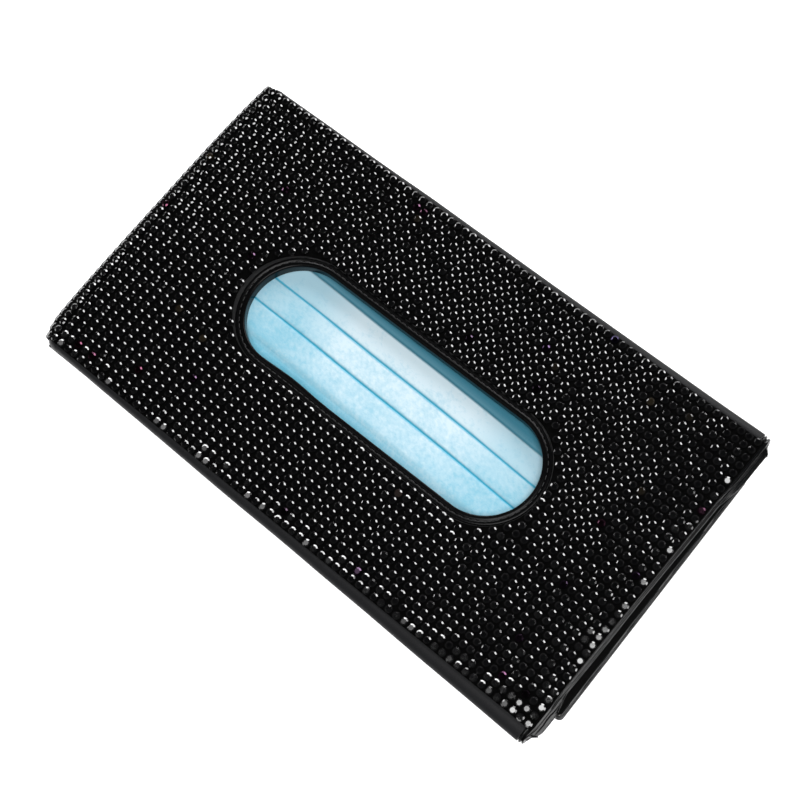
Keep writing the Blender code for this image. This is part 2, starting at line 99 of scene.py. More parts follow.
class Wire:
    """A node socket that takes part in sums, each of which adds a Math node."""

    def __init__(self, net, socket):
        self.net = net
        self.socket = socket

    def math(self, operation, *others):
        values = {i: value for i, value in enumerate((self, *others))}
        return self.net.out("ShaderNodeMath", {"operation": operation}, values)

    __add__ = __radd__ = sums("ADD")
    __mul__ = __rmul__ = sums("MULTIPLY")
    __sub__ = sums("SUBTRACT")
    __truediv__ = sums("DIVIDE")
    __pow__ = sums("POWER")
    sine = sums("SINE")
    cosine = sums("COSINE")
    size = sums("ABSOLUTE")
    root = sums("SQRT")
    above = sums("GREATER_THAN")
    below = sums("LESS_THAN")
    least = sums("MINIMUM")
    most = sums("MAXIMUM")

    def __rsub__(self, other):
        return (self * -1.0).math("ADD", other)

    def clamped(self):
        return self.most(0.0).least(1.0)

    def rise(self, start, run):
        """How far it has got on from a start, as a share of a run, held between 0 and 1."""
        return ((self - start) * (1.0 / run)).clamped()


class Net:
    """Adds nodes to one tree: a node's settings come first, then its sockets."""

    def __init__(self, tree):
        self.tree = tree

    def node(self, kind, settings=None, values=None):
        made = self.tree.nodes.new(kind)
        for key, value in (settings or {}).items():
            if key == "stops":
                ramp = made.color_ramp
                while len(ramp.elements) < len(value):
                    ramp.elements.new(0.5)
                for element, (place, colour) in zip(ramp.elements, value):
                    element.position = place
                    element.color = (*colour, 1.0)
            else:
                setattr(made, key, value)
        for key, value in (values or {}).items():
            socket = made.inputs[key]
            if isinstance(value, Wire):
                self.tree.links.new(value.socket, socket)
            elif isinstance(value, bpy.types.NodeSocket):
                self.tree.links.new(value, socket)
            else:
                socket.default_value = value
        return made

    def out(self, kind, settings=None, values=None, output=0):
        return Wire(self, self.node(kind, settings, values).outputs[output])

    def blend_colours(self, share, first, second):
        values = {0: share, 6: first, 7: second}
        return self.out("ShaderNodeMix", {"data_type": "RGBA"}, values, 2)

    def place(self):
        return self.out("ShaderNodeTexCoord", output="Object")

    def split(self, vector):
        made = self.node("ShaderNodeSeparateXYZ", None, {0: vector})
        return [Wire(self, made.outputs[i]) for i in range(3)]

    def join(self, x, y, z):
        return self.out("ShaderNodeCombineXYZ", None, {0: x, 1: y, 2: z})

    def attribute(self, name):
        return self.out("ShaderNodeAttribute", {"attribute_name": name}, output="Fac")

    def noise(self, vector, scale, detail=2.0):
        values = {"Vector": vector, "Scale": scale, "Detail": detail}
        return self.out("ShaderNodeTexNoise", None, values)

    def cells(self, vector, scale, feature="F1", randomness=1.0):
        values = {"Vector": vector, "Scale": scale, "Randomness": randomness}
        return self.out("ShaderNodeTexVoronoi", {"feature": feature}, values)

    def bump(self, height, depth, strength=1.0):
        values = {"Height": height, "Distance": depth, "Strength": strength}
        return self.out("ShaderNodeBump", None, values)


def finish(name, fixed, build):
    """A material whose constant sockets are fixed and whose varying ones build() returns."""
    made = bpy.data.materials.new(name)
    made.use_nodes = True
    net = Net(made.node_tree)
    shader = made.node_tree.nodes["Principled BSDF"]
    for key, value in fixed.items():
        shader.inputs[key].default_value = value
    for key, value in build(net).items():
        made.node_tree.links.new(value.socket, shader.inputs[key])
    return made


def grey(level, tint=(1.0, 1.0, 1.0)):
    """A colour of one level with a slight tint."""
    return (level * tint[0], level * tint[1], level * tint[2], 1.0)


COOL = (0.98, 0.99, 1.06)
GRAIN = 0.55 * MM            # one pebble of the leather cloth's grain
PLY_PITCH = 0.85 * MM        # from one of the binding's thin plies to the next


def leather_finish(name, dark, light, gloss, shine=0.5, relief=0.05 * MM, plies=0.0):
    """Grained leather cloth: pebbled grain, faint mottling, paler and smoother where it is marked: rubbed wear,
    and a painted sheen on edges that the light catches.

    Where it is bound in thin plies along Y, their edges show as fine lines.
    """

    def build(net):
        place = net.place()
        warp = net.noise(place, 240.0, 3.0)
        pebbles = net.cells(place, 1.0 / GRAIN, "DISTANCE_TO_EDGE")
        pores = net.noise(place, 5200.0, 2.0)
        creases = net.noise(place, 900.0, 4.0)
        height = (pebbles * 2.2).least(1.0) * 0.7 + pores * 0.25 + creases * 0.4
        if plies:
            x, y, z = net.split(place)
            down_nose = x * 0.75 - z * 0.66 + warp * (0.5 * MM)
            lines = (down_nose * (math.tau / PLY_PITCH)).sine()
            height = height + lines * plies
        rubbed = net.attribute("rubbed")
        # Paler where marked: rubbed wear, and a painted sheen where light catches the edges.
        shade = warp * 0.55 + (pebbles * 1.6).least(0.45) + rubbed * 0.45
        colour = net.blend_colours(shade.least(1.0), grey(dark, COOL), grey(light, COOL))
        rough = (gloss + 0.16) - warp * 0.18 - rubbed * 0.08 + pores * 0.08
        return {
            "Base Color": colour,
            "Roughness": rough,
            "Normal": net.bump(height, relief, 0.55),
        }

    return finish(name, {"Specular IOR Level": shine}, build)


def stone_finish():
    """Polished jet stones: near black, with a mirror-like tinted coat on a few of them."""

    def build(net):
        kind = net.attribute("stone_kind")
        tints = net.out(
            "ShaderNodeValToRGB",
            {"stops": ((0.0, (0.0010, 0.0010, 0.0013)), (0.988, (0.0022, 0.0022, 0.0025)),
                       (0.990, (0.10, 0.07, 0.03)), (0.993, (0.05, 0.035, 0.09)),
                       (0.997, (0.10, 0.03, 0.04)), (1.0, (0.035, 0.05, 0.11)))},
            {0: kind},
        )
        smear = net.noise(net.place(), 700.0, 2.0)
        return {
            "Base Color": tints,
            "Metallic": kind.above(0.990),
            "Roughness": 0.03 + smear * 0.08 + kind * 0.03,
        }

    return finish("jet_stones", {"IOR": 2.0}, build)


NET_PITCH = 0.85 * MM        # from one cord of the net to the next


def bed_finish():
    """The black plastic net that the stones are set in."""

    def build(net):
        x, y, z = net.split(net.place())
        cord = math.tau / NET_PITCH
        ribs = (x * cord).sine().size() * 0.5 + (y * cord).sine().size() * 0.5
        fluff = net.noise(net.place(), 1500.0, 3.0)
        colour = net.blend_colours(ribs * fluff, grey(0.0006), grey(0.0035))
        return {
            "Base Color": colour,
            "Roughness": 0.60 + fluff * 0.3,
            "Normal": net.bump(ribs + fluff * 0.6, 0.12 * MM, 0.7),
        }

    return finish("stone_bed", {"Specular IOR Level": 0.3, "IOR": 1.12}, build)


def cloth_finish(name, dark, light, pitch):
    """A plain woven lining."""

    def build(net):
        x, y, z = net.split(net.place())
        turn = math.tau / pitch
        over = (x * turn).sine() * (y * turn).sine()
        weave = over * 0.5 + 0.5
        fuzz = net.noise(net.place(), 1200.0, 3.0)
        colour = net.blend_colours(weave * 0.6 + fuzz * 0.4, grey(dark), grey(light))
        return {
            "Base Color": colour,
            "Roughness": 0.75 + fuzz * 0.2,
            "Normal": net.bump(weave + fuzz * 0.4, 0.06 * MM, 0.7),
        }

    return finish(name, {"Specular IOR Level": 0.05}, build)


def elastic_finish():
    """Ribbed elastic webbing: cords along the strap, crossed by fine weft."""

    def build(net):
        x, y, z = net.split(net.place())
        cords = (x * (math.pi / (1.05 * MM))).sine().size()
        weft = (y * (math.tau / (0.62 * MM))).sine() * 0.5 + 0.5
        fuzz = net.noise(net.place(), 1800.0, 3.0)
        height = cords * 0.7 + weft * 0.35 + fuzz * 0.2
        colour = net.blend_colours(height * 0.7, grey(0.006), grey(0.045, COOL))
        return {
            "Base Color": colour,
            "Roughness": 0.62 + fuzz * 0.3,
            "Normal": net.bump(height, 0.22 * MM, 0.8),
        }

    return finish("ribbed_elastic", {"Specular IOR Level": 0.35}, build)


def board_finish():
    """Plain grey board with short fibres."""

    def build(net):
        x, y, z = net.split(net.place())
        fibres = net.noise(net.join(x * 0.25, y, z), 2600.0, 4.0)
        flecks = net.noise(net.place(), 420.0, 3.0)
        colour = net.blend_colours(
            fibres * 0.7 + flecks * 0.3, (0.20, 0.185, 0.165, 1.0), (0.37, 0.345, 0.315, 1.0)
        )
        return {
            "Base Color": colour,
            "Roughness": 0.85 + flecks * 0.1,
            "Normal": net.bump(fibres, 0.05 * MM, 0.5),
        }

    return finish("grey_board", {"Specular IOR Level": 0.3}, build)


def nickel_finish():
    """Nickel plate, brushed by handling."""

    def build(net):
        x, y, z = net.split(net.place())
        brush = net.noise(net.join(x * 8.0, y, z), 600.0, 3.0)
        rough = brush * 0.22 + 0.18
        colour = net.blend_colours(brush, (0.50, 0.48, 0.45, 1.0), (0.68, 0.66, 0.62, 1.0))
        return {"Base Color": colour, "Roughness": rough}

    return finish("nickel_plate", {"Metallic": 1.0}, build)


BOND_PITCH = 1.15 * MM       # between the fleece's bonded dots
SHADE_REACH = 30.0 * MM      # the painted shade and light under the window end this far beside it
FLEECE_THIN = (0.38, 0.67, 0.81, 1.0)
FLEECE_THICK = (0.70, 0.86, 0.94, 1.0)
# painted shade in the pleats' creases
FLEECE_CREASE_SHADE = (0.02, 0.42, 0.60, 1.0)
# the dark colour of the painted shade under the slot's far side
FLEECE_FAR_BAND_SHADE = (0.01, 0.07, 0.11, 1.0)


def near_window(x, y):
    """A share that is 1 under the window and fades beside it, which bounds the painted shade and light there."""
    past_run = ((x - X_MIDDLE).size() - WINDOW_RUN).most(0.0)
    from_axis = (past_run * past_run + y * y).root()
    beside = (from_axis - WINDOW_HALF - 1.5 * MM).most(0.0)
    return (1.0 - beside * (1.0 / SHADE_REACH)).clamped()


def painted_rim_shade(x, y, clouds, fibres):
    """Painted shade on the top mask where it falls away under the rim, along the slot's near side and at its two
    ends.
    """
    wander = (clouds - 0.5) * (1.6 * MM)
    near_side = (wander - y - x * 0.028).rise(13.2 * MM, 5.2 * MM)
    towards_mouth = (x + 20.0 * MM) * (1.0 / (95.0 * MM))
    near_side = near_side * (1.0 - towards_mouth).most(0.25).least(1.0)
    spine_end = (wander - x).rise(28.0 * MM, 19.0 * MM)
    mouth_end = (wander + x).rise(26.0 * MM, 18.0 * MM)
    return (near_side * (0.35 + fibres * 0.5)).most(spine_end * 0.38).most(mouth_end * 0.32)


def fleece_finish():
    """Pressed light-blue nonwoven: loose fibres, a lattice of bonded dots, whiter where the cloth is thicker.

    Shade is painted into its colour: deep blue in its pleats' creases, where it falls away under the rim, and a
    dark band under the slot's far side; under the window it is painted paler towards the far side.
    """

    def build(net):
        place = net.place()
        x, y, z = net.split(place)
        dots = net.cells(place, 1.0 / BOND_PITCH, "F1", 0.12)
        bonded = 1.0 - (dots * 2.6).least(1.0)
        fibres = net.noise(net.join(x * 0.6, y * 1.4, z), 1900.0, 5.0)
        fuzz = net.noise(net.join(x + y * 0.7, y - x * 0.4, z), 520.0, 3.0)
        clouds = net.noise(place, 95.0, 4.0)
        under_window = near_window(x, y)
        thickness_and_light = clouds * 1.3 + fuzz * 1.5 + fibres * 0.7 - bonded * 0.3 - 1.05
        # Painted light and shade: under the window the colour is paler towards the far side and darker towards the
        # near side.
        thickness_and_light = thickness_and_light + y * under_window * 32.0
        flat = net.blend_colours(thickness_and_light.clamped(), FLEECE_THIN, FLEECE_THICK)
        # Painted shade marked on the mesh, deepest in the pleats' creases.
        fold = net.attribute("fold")
        # Painted shade: a dark band under the slot's far side beyond the highest pleat, where the rim shades the
        # lower ply; it fades out past the rim's edge.
        far_part = y.rise(11.0 * MM, 4.0 * MM)
        past_rim_edge = (y - WINDOW_HALF - 1.0 * MM).most(0.0) * (1.0 / (9.0 * MM))
        painted_far_band_shade = fold * far_part * (1.0 - past_rim_edge).most(0.0)
        fold = fold * (1.0 - far_part) + painted_far_band_shade
        # Painted shade where the top mask falls away under the rim.
        fold = fold.most(painted_rim_shade(x, y, clouds, fibres) * under_window)
        colour = net.blend_colours(fold, flat, FLEECE_CREASE_SHADE)
        colour = net.blend_colours(painted_far_band_shade * 0.75, colour, FLEECE_FAR_BAND_SHADE)
        return {
            "Base Color": colour,
            "Roughness": 0.80 + fibres * 0.15,
            "Normal": net.bump(fibres * 0.6 - bonded * 0.5 + clouds * 0.8, 0.10 * MM, 0.6),
        }

    fixed = {"Sheen Weight": 0.08, "Sheen Roughness": 0.5, "Specular IOR Level": 0.2}
    return finish("blue_fleece", fixed, build)


def thread_finish():
    """Twisted black thread."""

    def build(net):
        twist = net.noise(net.place(), 2500.0, 2.0)
        colour = net.blend_colours(twist, grey(0.010), grey(0.035, COOL))
        return {
            "Base Color": colour,
            "Roughness": 0.45 + twist * 0.3,
            "Normal": net.bump(twist, 0.05 * MM, 0.6),
        }

    return finish("black_thread", {"Specular IOR Level": 0.4}, build)


LEATHER = leather_finish("black_leather_cloth", 0.005, 0.016, 0.30)
EDGE_LEATHER = leather_finish("edge_leather_cloth", 0.008, 0.022, 0.36, 0.10)
# The far roll's leather: a darker copy of the near roll's, as painted shade.
FAR_SHADED_LEATHER = leather_finish("far_roll_shaded_leather_cloth", 0.006, 0.016, 0.36, 0.08)
BINDING_LEATHER = leather_finish("binding_leather_cloth", 0.002, 0.006, 0.05, 0.30, 0.018 * MM, 2.6)
RIM_LEATHER = leather_finish("rim_leather_cloth", 0.0010, 0.003, 0.14, 0.13, 0.03 * MM)
STONES = stone_finish()
STONE_BED = bed_finish()
# Black lining, painted darker still as shade in the gap at the mouth.
BLACK_LINING_AND_SHADE = cloth_finish("black_lining_and_shade", 0.0015, 0.005, 0.5 * MM)
ELASTIC = elastic_finish()
BOARD = board_finish()
NICKEL = nickel_finish()
FLEECE = fleece_finish()
THREAD = thread_finish()


def add_object(name, data):
    """A new object, linked into the scene."""
    made = bpy.data.objects.new(name, data)
    bpy.context.scene.collection.objects.link(made)
    return made


def close_mesh(name, bm):
    """The mesh of a bmesh that is done with, its faces turned outwards."""
    bmesh.ops.recalc_face_normals(bm, faces=bm.faces)
    mesh = bpy.data.meshes.new(name)
    bm.to_mesh(mesh)
    bm.free()
    return mesh


def clamp(share):
    """A share held between 0 and 1."""
    return min(max(share, 0.0), 1.0)


def rise(place, start, run):
    """How far a place has got on from a start, as a share of a run, held between 0 and 1."""
    return clamp((place - start) / run)


def soften(share):
    """The same share, but setting off and arriving gently."""
    return share * share * (3.0 - 2.0 * share)


def add_piece(name, mesh, look, smooth_deg=40.0):
    """A piece of the scene with its finish, smooth but for edges sharper than an angle."""
    made = add_object(name, mesh)
    mesh.materials.clear()
    mesh.materials.append(look)
    mesh.shade_smooth()
    mesh.set_sharp_from_angle(angle=math.radians(smooth_deg))
    return made


def loft(name, rings, path_closed=False, sheet_ends=False, **marks):
    """A closed skin through rings of as many points each, with named shares marked on every ring.

    An open path is capped, in strips where its rings run out on one face and back on the other.
    """
    bm = bmesh.new()
    layers = {label: bm.verts.layers.float.new(label) for label in marks}
    rows = []
    for ring in rings:
        row = [bm.verts.new(point) for point in ring]
        for label, shares in marks.items():
            for vert, share in zip(row, shares):
                vert[layers[label]] = share
        rows.append(row)
    pairs = list(zip(rows, rows[1:]))
    if path_closed:
        pairs.append((rows[-1], rows[0]))
    for this_row, next_row in pairs:
        count = len(this_row)
        for i in range(count):
            j = (i + 1) % count
            bm.faces.new((this_row[i], this_row[j], next_row[j], next_row[i]))
    ends = [] if path_closed else [rows[0], rows[-1]]
    for row in ends:
        if sheet_ends:
            for i in range(len(row) // 2 - 1):
                bm.faces.new((row[i], row[i + 1], row[-2 - i], row[-1 - i]))
        else:
            bm.faces.new(row)
    return close_mesh(name, bm)


def spread(low, high, count):
    """Even places from low to high, both included."""
    return [low + (high - low) * i / count for i in range(count + 1)]


def arc(centre, radius, start_deg, end_deg, steps):
    """Points round an arc, both ends included."""
    points = []
    for i in range(steps + 1):
        angle = math.radians(start_deg + (end_deg - start_deg) * i / steps)
        points.append((centre[0] + radius * math.cos(angle), centre[1] + radius * math.sin(angle)))
    return points


def wave(place, seed, size, longest):
    """A smooth wandering line: a few sines of falling size, the same on each run."""
    maker = random.Random(seed)
    total = 0.0
    for i in range(1, 5):
        turn = math.tau * place * i / longest
        total += math.sin(turn + maker.uniform(0.0, math.tau)) / i * maker.uniform(0.6, 1.0)
    return total * size / 2


BOW = 4.0 * MM               # the soft closed end bulges this far out at its middle
BOW_START = -40.0 * MM       # and the cloth is drawn along from here
BOW_LOSS = 0.42              # share of the bulge that is lost by the long edges
TUCK = 2.0 * MM              # the near corner is tucked in by this
TUCK_START = 0.8             # from this share of the half width outwards


def bow(x, y):
    """How far the soft closed end has bulged at a place on the case; its near corner is tucked in."""
    share = soften(rise(-x, -BOW_START, BOW_START - X_SPINE))
    across = y / HALF_WIDTH
    tucked = max(-across - TUCK_START, 0.0) / (1.0 - TUCK_START)
    return share * (BOW * (1.0 - BOW_LOSS * across ** 4) - TUCK * tucked ** 2)


def ease(mesh):
    """Draw a case piece out with the bulge of the closed end."""
    for vert in mesh.vertices:
        vert.co.x -= bow(vert.co.x, vert.co.y)
    return mesh


def round_spine(x, y, z):
    """Carry a point of the flat front round the spine, at its height over the skin."""
    past = X_SPINE - x
    if past <= 0.0:
        return Vector((x, y, z))
    angle = past / (SPINE_RADIUS + CLEAR + BED_THICK)
    radius = SPINE_RADIUS + z - SKIN_TOP
    return Vector((X_SPINE - radius * math.sin(angle), y, Z_SPINE + radius * math.cos(angle)))


def slot_points(offset, steps):
    """The window's outline, a slot with round ends, moved outwards, with each point's way out."""
    radius = WINDOW_HALF + offset
    straight = max(2, round(steps * 2 * WINDOW_RUN / (math.pi * radius)))
    points = []
    for side in (1, -1):
        for i in range(steps):
            angle = math.radians(side * 90.0 - 90.0) + math.pi * (i / steps - 0.5)
            out = Vector((math.cos(angle), math.sin(angle), 0.0))
            centre = Vector((X_MIDDLE + side * WINDOW_RUN, 0.0, 0.0))
            points.append((centre + out * radius, out))
        out = Vector((0.0, float(side), 0.0))
        for i in range(straight):
            x = X_MIDDLE + side * WINDOW_RUN * (1 - 2 * i / straight)
            points.append((Vector((x, side * radius, 0.0)), out))
    return points


SOCKETS = {bpy.types.Object: "NodeSocketObject", int: "NodeSocketInt", float: "NodeSocketFloat"}


def run_tree(name, build, values, look):
    """Run a Geometry Nodes tree with named inputs and return its result as a plain mesh."""
    tree = bpy.data.node_groups.new(name, "GeometryNodeTree")
    faces = tree.interface
    faces.new_socket("Geometry", in_out="INPUT", socket_type="NodeSocketGeometry")
    faces.new_socket("Geometry", in_out="OUTPUT", socket_type="NodeSocketGeometry")
    for label, value in values.items():
        faces.new_socket(label, in_out="INPUT", socket_type=SOCKETS[type(value)])
    net = Net(tree)
    entry = net.node("NodeGroupInput")
    made = build(net, entry)
    real = net.node("GeometryNodeRealizeInstances", None, {0: made})
    coat = net.node("GeometryNodeSetMaterial", None, {"Geometry": real.outputs[0], "Material": look})
    net.node("NodeGroupOutput", None, {0: coat.outputs[0]})
    holder = add_object(name, bpy.data.meshes.new(name))
    modifier = holder.modifiers.new(name, "NODES")
    modifier.node_group = tree
    for item in tree.interface.items_tree:
        if item.in_out == "INPUT" and item.name in values:
            modifier[item.identifier] = values[item.name]
    bpy.context.view_layer.update()
    graph = bpy.context.evaluated_depsgraph_get()
    mesh = bpy.data.meshes.new_from_object(holder.evaluated_get(graph))
    bpy.data.objects.remove(holder)
    return mesh


STONE_RADIUS = 1.42 * MM
STONE_PITCH = 3.41 * MM
TABLE_SHARE = 0.66           # the flat top's radius, of the stone's
GIRDLE_RISE = 0.80 * MM
CROWN_RISE = 0.32 * MM
STONE_SINK = 0.08 * MM
ROWS = 37
COLUMNS = 69
LAST_COLUMN = X_MOUTH - 2.2 * MM
NEAR_ROW = -60.9 * MM
FAR_ROW = 61.8 * MM
ROWS_TO_RIM = 11             # rows from a long edge to the row beside the rim, counted from 0
FACETS = 8
STONE_TUCK = 3.2 * MM        # the near corner's stones are drawn in further than the cloth
TILT_LEAST = 0.45            # share of the edge's tilt that its stones have far from the mouth
TILT_START = 55.0 * MM       # it grows from here
TILT_RUN = 50.0 * MM
RIM_SHARE = 0.35             # share of that tilt that the stones by the rim's near side have


def cut_stone():
    """A round flat-backed stone: an eight-sided table, eight broad crown facets and a girdle.

    The girdle's corners between two facets' ends are drawn down, so each facet is flat.
    """
    table = STONE_RADIUS * TABLE_SHARE
    top = GIRDLE_RISE + CROWN_RISE - STONE_SINK
    girdle = GIRDLE_RISE - STONE_SINK
    chord = math.cos(math.pi / FACETS)
    slope = CROWN_RISE / ((STONE_RADIUS - table) * chord)
    droop = slope * STONE_RADIUS * (1.0 - chord)
    bm = bmesh.new()

    def ring(radius, heights, count):
        points = []
        for i in range(count):
            angle = math.tau * i / count
            height = heights[i % len(heights)]
            points.append(bm.verts.new((radius * math.cos(angle), radius * math.sin(angle), height)))
        return points

    flat = ring(table, [top], FACETS)
    edge = ring(STONE_RADIUS, [girdle, girdle - droop], 2 * FACETS)
    foot = ring(STONE_RADIUS, [-STONE_SINK], 2 * FACETS)
    bm.faces.new(flat)
    bm.faces.new(foot[::-1])
    for i in range(FACETS):
        j = (i + 1) % FACETS
        bm.faces.new((flat[i], edge[2 * i], edge[2 * i + 1], edge[2 * j], flat[j]))
    for i in range(2 * FACETS):
        j = (i + 1) % (2 * FACETS)
        bm.faces.new((edge[i], foot[i], foot[j], edge[j]))
    return close_mesh("cut_stone", bm)


def grid_of_stones(net, given):
    """A flat grid, and where each of its points belongs along and across the flat front.

    The rows are spread evenly from each long edge to the rim, and evenly again between its sides.
    """
    last_row = given["Rows"] - 1.0
    last_column = given["Columns"] - 1.0
    counts = {"Vertices X": given["Columns"], "Vertices Y": given["Rows"]}
    lengths = {"Size X": given["Pitch"] * last_column, "Size Y": last_row}
    grid = net.node("GeometryNodeMeshGrid", None, {**counts, **lengths})
    on_grid = net.out("GeometryNodeInputPosition")
    x, y, z = net.split(on_grid)
    row = y + last_row * 0.5
    side = given["Rows To Rim"]

    def climb(first, last, gain):
        values = {"Value": row, "From Min": first, "From Max": last, "To Min": 0.0, "To Max": gain}
        return net.out("ShaderNodeMapRange", {"clamp": True}, values)

    near_rim = 0.0 - given["Row Beside Rim"]
    y = given["Near Row"] + climb(0.0, side, near_rim - given["Near Row"])
    y = y + climb(side, last_row - side, given["Row Beside Rim"] * 2.0)
    y = y + climb(last_row - side, last_row, given["Far Row"] - given["Row Beside Rim"])
    x = x + given["Last Column"] - given["Pitch"] * last_column * 0.5
    return grid, on_grid, x, y


def random_share(net, seed, lowest):
    """Three random shares for each stone, from the lowest ones given up to 1."""
    values = {"Seed": seed, 0: lowest, 1: (1.0, 1.0, 1.0)}
    made = net.node("FunctionNodeRandomValue", {"data_type": "FLOAT_VECTOR"}, values)
    return net.split(made.outputs[0])


def laid_on_case(net, given, x, y, angle):
    """Where a place of the flat front comes to lie, round the spine and out with the bulge."""
    values = {"Value": x, "From Min": given["Bow Start"], "From Max": given["Spine"]}
    values.update({"To Min": 0.0, "To Max": 1.0})
    settings = {"clamp": True, "interpolation_type": "SMOOTHSTEP"}
    drawn = net.out("ShaderNodeMapRange", settings, values)
    across = y / given["Half Width"]
    tucked = (0.0 - across - TUCK_START).most(0.0) / (1.0 - TUCK_START)
    bulge = given["Bow"] * (1.0 - (across ** 4.0) * BOW_LOSS) - tucked * tucked * given["Tuck"]
    return net.join(
        x.most(given["Spine"]) - given["Seat Radius"] * angle.sine() - drawn * bulge,
        y,
        given["Spine Height"] + given["Seat Radius"] * angle.cosine(),
    )


def stone_turns(given, beyond, x, y):
    """How unevenly each stone sits, its roll and its tip.

    All three grow where the cloth turns down, beside the rim, the near edge and the mouth.
    """
    fade = given["Tilt Fade"]
    by_rim = (1.0 - beyond * fade).most(0.0) * y.below(0.0)
    by_edge = (1.0 - (y - given["Near Row"]) * fade).most(0.0)
    by_mouth = (1.0 - (given["Last Column"] - x) * fade).most(0.0)
    edge_share = TILT_LEAST + x.rise(TILT_START, TILT_RUN) * (1.0 - TILT_LEAST)
    unrest = given["Lean"] * (1.0 + by_rim + by_edge + by_mouth * 1.2)
    roll = (by_rim * RIM_SHARE + by_edge * edge_share) * given["Edge Tilt"]
    roll = roll + by_mouth * given["Mouth Tilt"] * 0.5
    return unrest, roll, by_mouth * given["Mouth Tilt"]


def strayed(net, given, x, y, near_end):
    """Each stone's place with its row's slow drift and a small step of its own, and its own turn."""
    wander = net.node("ShaderNodeTexNoise", None, {"Vector": net.join(x, y, 0.0), "Scale": 38.0})
    drift_x, drift_y, _ = net.split(wander.outputs[1])
    step_x, step_y, own_turn = random_share(net, given["Seed"], (-1.0, -1.0, -1.0))
    drift = given["Drift"] * (near_end * 2.0 + 1.0)
    x = x + (drift_x - 0.5) * drift + step_x * given["Jitter"]
    y = y + (drift_y - 0.5) * drift + step_y * given["Jitter"]
    return x, y, own_turn


def stone_tree(net, entry):
    """Stones on a flat grid, cleared from the window, then laid on the case and round its spine.

    Every field here is read while the points still lie on the flat grid.
    """
    given = {socket.name: Wire(net, socket) for socket in entry.outputs if socket.name}
    grid, on_grid, x, y = grid_of_stones(net, given)
    past_run = ((x - given["Middle"]).size() - given["Run"]).most(0.0)
    beyond = (past_run * past_run + y * y).root() - given["Rim Reach"]
    hidden = beyond.below(0.0)
    near_end = (1.0 - beyond * given["Unrest Fade"]).most(0.0) * past_run.above(0.0)
    unrest, roll, tip = stone_turns(given, beyond, x, y)
    x, y, own_turn = strayed(net, given, x, y, near_end)
    angle = (given["Spine"] - x).most(0.0) / given["Seat Radius"]
    laid = laid_on_case(net, given, x, y, angle)

    parts = {0: grid.outputs[0], 1: hidden}
    cleared = net.node("GeometryNodeDeleteGeometry", {"domain": "POINT"}, parts)
    stone = net.node("GeometryNodeObjectInfo", None, {0: given["Stone"]})
    placed = net.node(
        "GeometryNodeInstanceOnPoints",
        None,
        {
            "Points": cleared.outputs[0],
            "Instance": stone.outputs["Geometry"],
            "Rotation": net.join(0.0, 0.0, given["Turn"] + own_turn * given["Turn Spread"]),
        },
    )
    lean_x, lean_y, kind = random_share(net, given["Seed"] + 1.0, (-1.0, -1.0, 0.0))
    turned = net.node(
        "GeometryNodeRotateInstances",
        None,
        {
            "Instances": placed.outputs[0],
            "Rotation": net.join(lean_x * unrest + roll, lean_y * unrest + (tip - angle), 0.0),
            "Pivot Point": on_grid,
            "Local Space": False,
        },
    )
    marked = net.node(
        "GeometryNodeStoreNamedAttribute",
        {"data_type": "FLOAT", "domain": "INSTANCE"},
        {"Geometry": turned.outputs[0], "Name": "stone_kind", "Value": kind},
    )
    places = {"Geometry": marked.outputs[0], "Position": laid}
    return net.node("GeometryNodeSetPosition", None, places).outputs[0]


def build_stones():
    """The field of stones, which rides on the case."""
    stone = add_object("cut_stone", cut_stone())
    values = {
        "Stone": stone,
        "Columns": COLUMNS,
        "Rows": ROWS,
        "Rows To Rim": ROWS_TO_RIM,
        "Seed": 7,
        "Pitch": STONE_PITCH,
        "Near Row": NEAR_ROW,
        "Far Row": FAR_ROW,
        "Row Beside Rim": RIM_HIGH.y + STONE_RADIUS,
        "Last Column": LAST_COLUMN,
        "Middle": X_MIDDLE,
        "Run": WINDOW_RUN,
        "Rim Reach": RIM_HIGH.y + STONE_RADIUS - 0.45 * MM,
        "Unrest Fade": 1.0 / (14.0 * MM),
        "Drift": 0.9 * MM,
        "Jitter": 0.10 * MM,
        "Lean": math.radians(1.8),
        "Tilt Fade": 1.0 / (9.0 * MM),
        "Edge Tilt": math.radians(10.0),
        "Mouth Tilt": math.radians(2.4),
        "Turn": math.radians(-3.5),
        "Turn Spread": math.radians(8.0),
        "Bow": BOW,
        "Bow Start": BOW_START,
        "Tuck": STONE_TUCK,
        "Half Width": HALF_WIDTH,
        "Spine": X_SPINE,
        "Spine Height": Z_SPINE,
        "Seat Radius": STONE_SEAT - SKIN_TOP + SPINE_RADIUS,
    }
    mesh = run_tree("stone_field", stone_tree, values, STONES)
    bpy.data.objects.remove(stone)
    field = add_object("stone_field", mesh)
    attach(field, "case")
    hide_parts("stone_sheet")
    return field


BED_CELL = STONE_PITCH / 2
BED_START = LAST_COLUMN - (COLUMNS - 0.5) * STONE_PITCH
BED_END = X_MOUTH - 0.5 * MM
BED_FOOT = SKIN_TOP + CLEAR
CUSHION = 0.88 * MM          # how much thicker the sheet gets at the closed end
CORNER_SHARE = 0.16          # over this share of the half width it thins out to the near corner


def past_rim(x, y):
    """How far a place on the front is outside the rim's outer line."""
    along = max(abs(x - X_MIDDLE) - WINDOW_RUN, 0.0)
    return math.hypot(along, y) - WINDOW_HALF - RIM_WIDTH - CLEAR


def cushion(past, y):
    """How much thicker the sheet is where it turns down the spine and takes the stones in flush.

    It thins out again at the near corner, which is rounded.
    """
    thicker = soften(rise(past, 3.0 * MM, 3.0 * MM))
    return CUSHION * thicker * rise(y / HALF_WIDTH, -1.0, CORNER_SHARE)


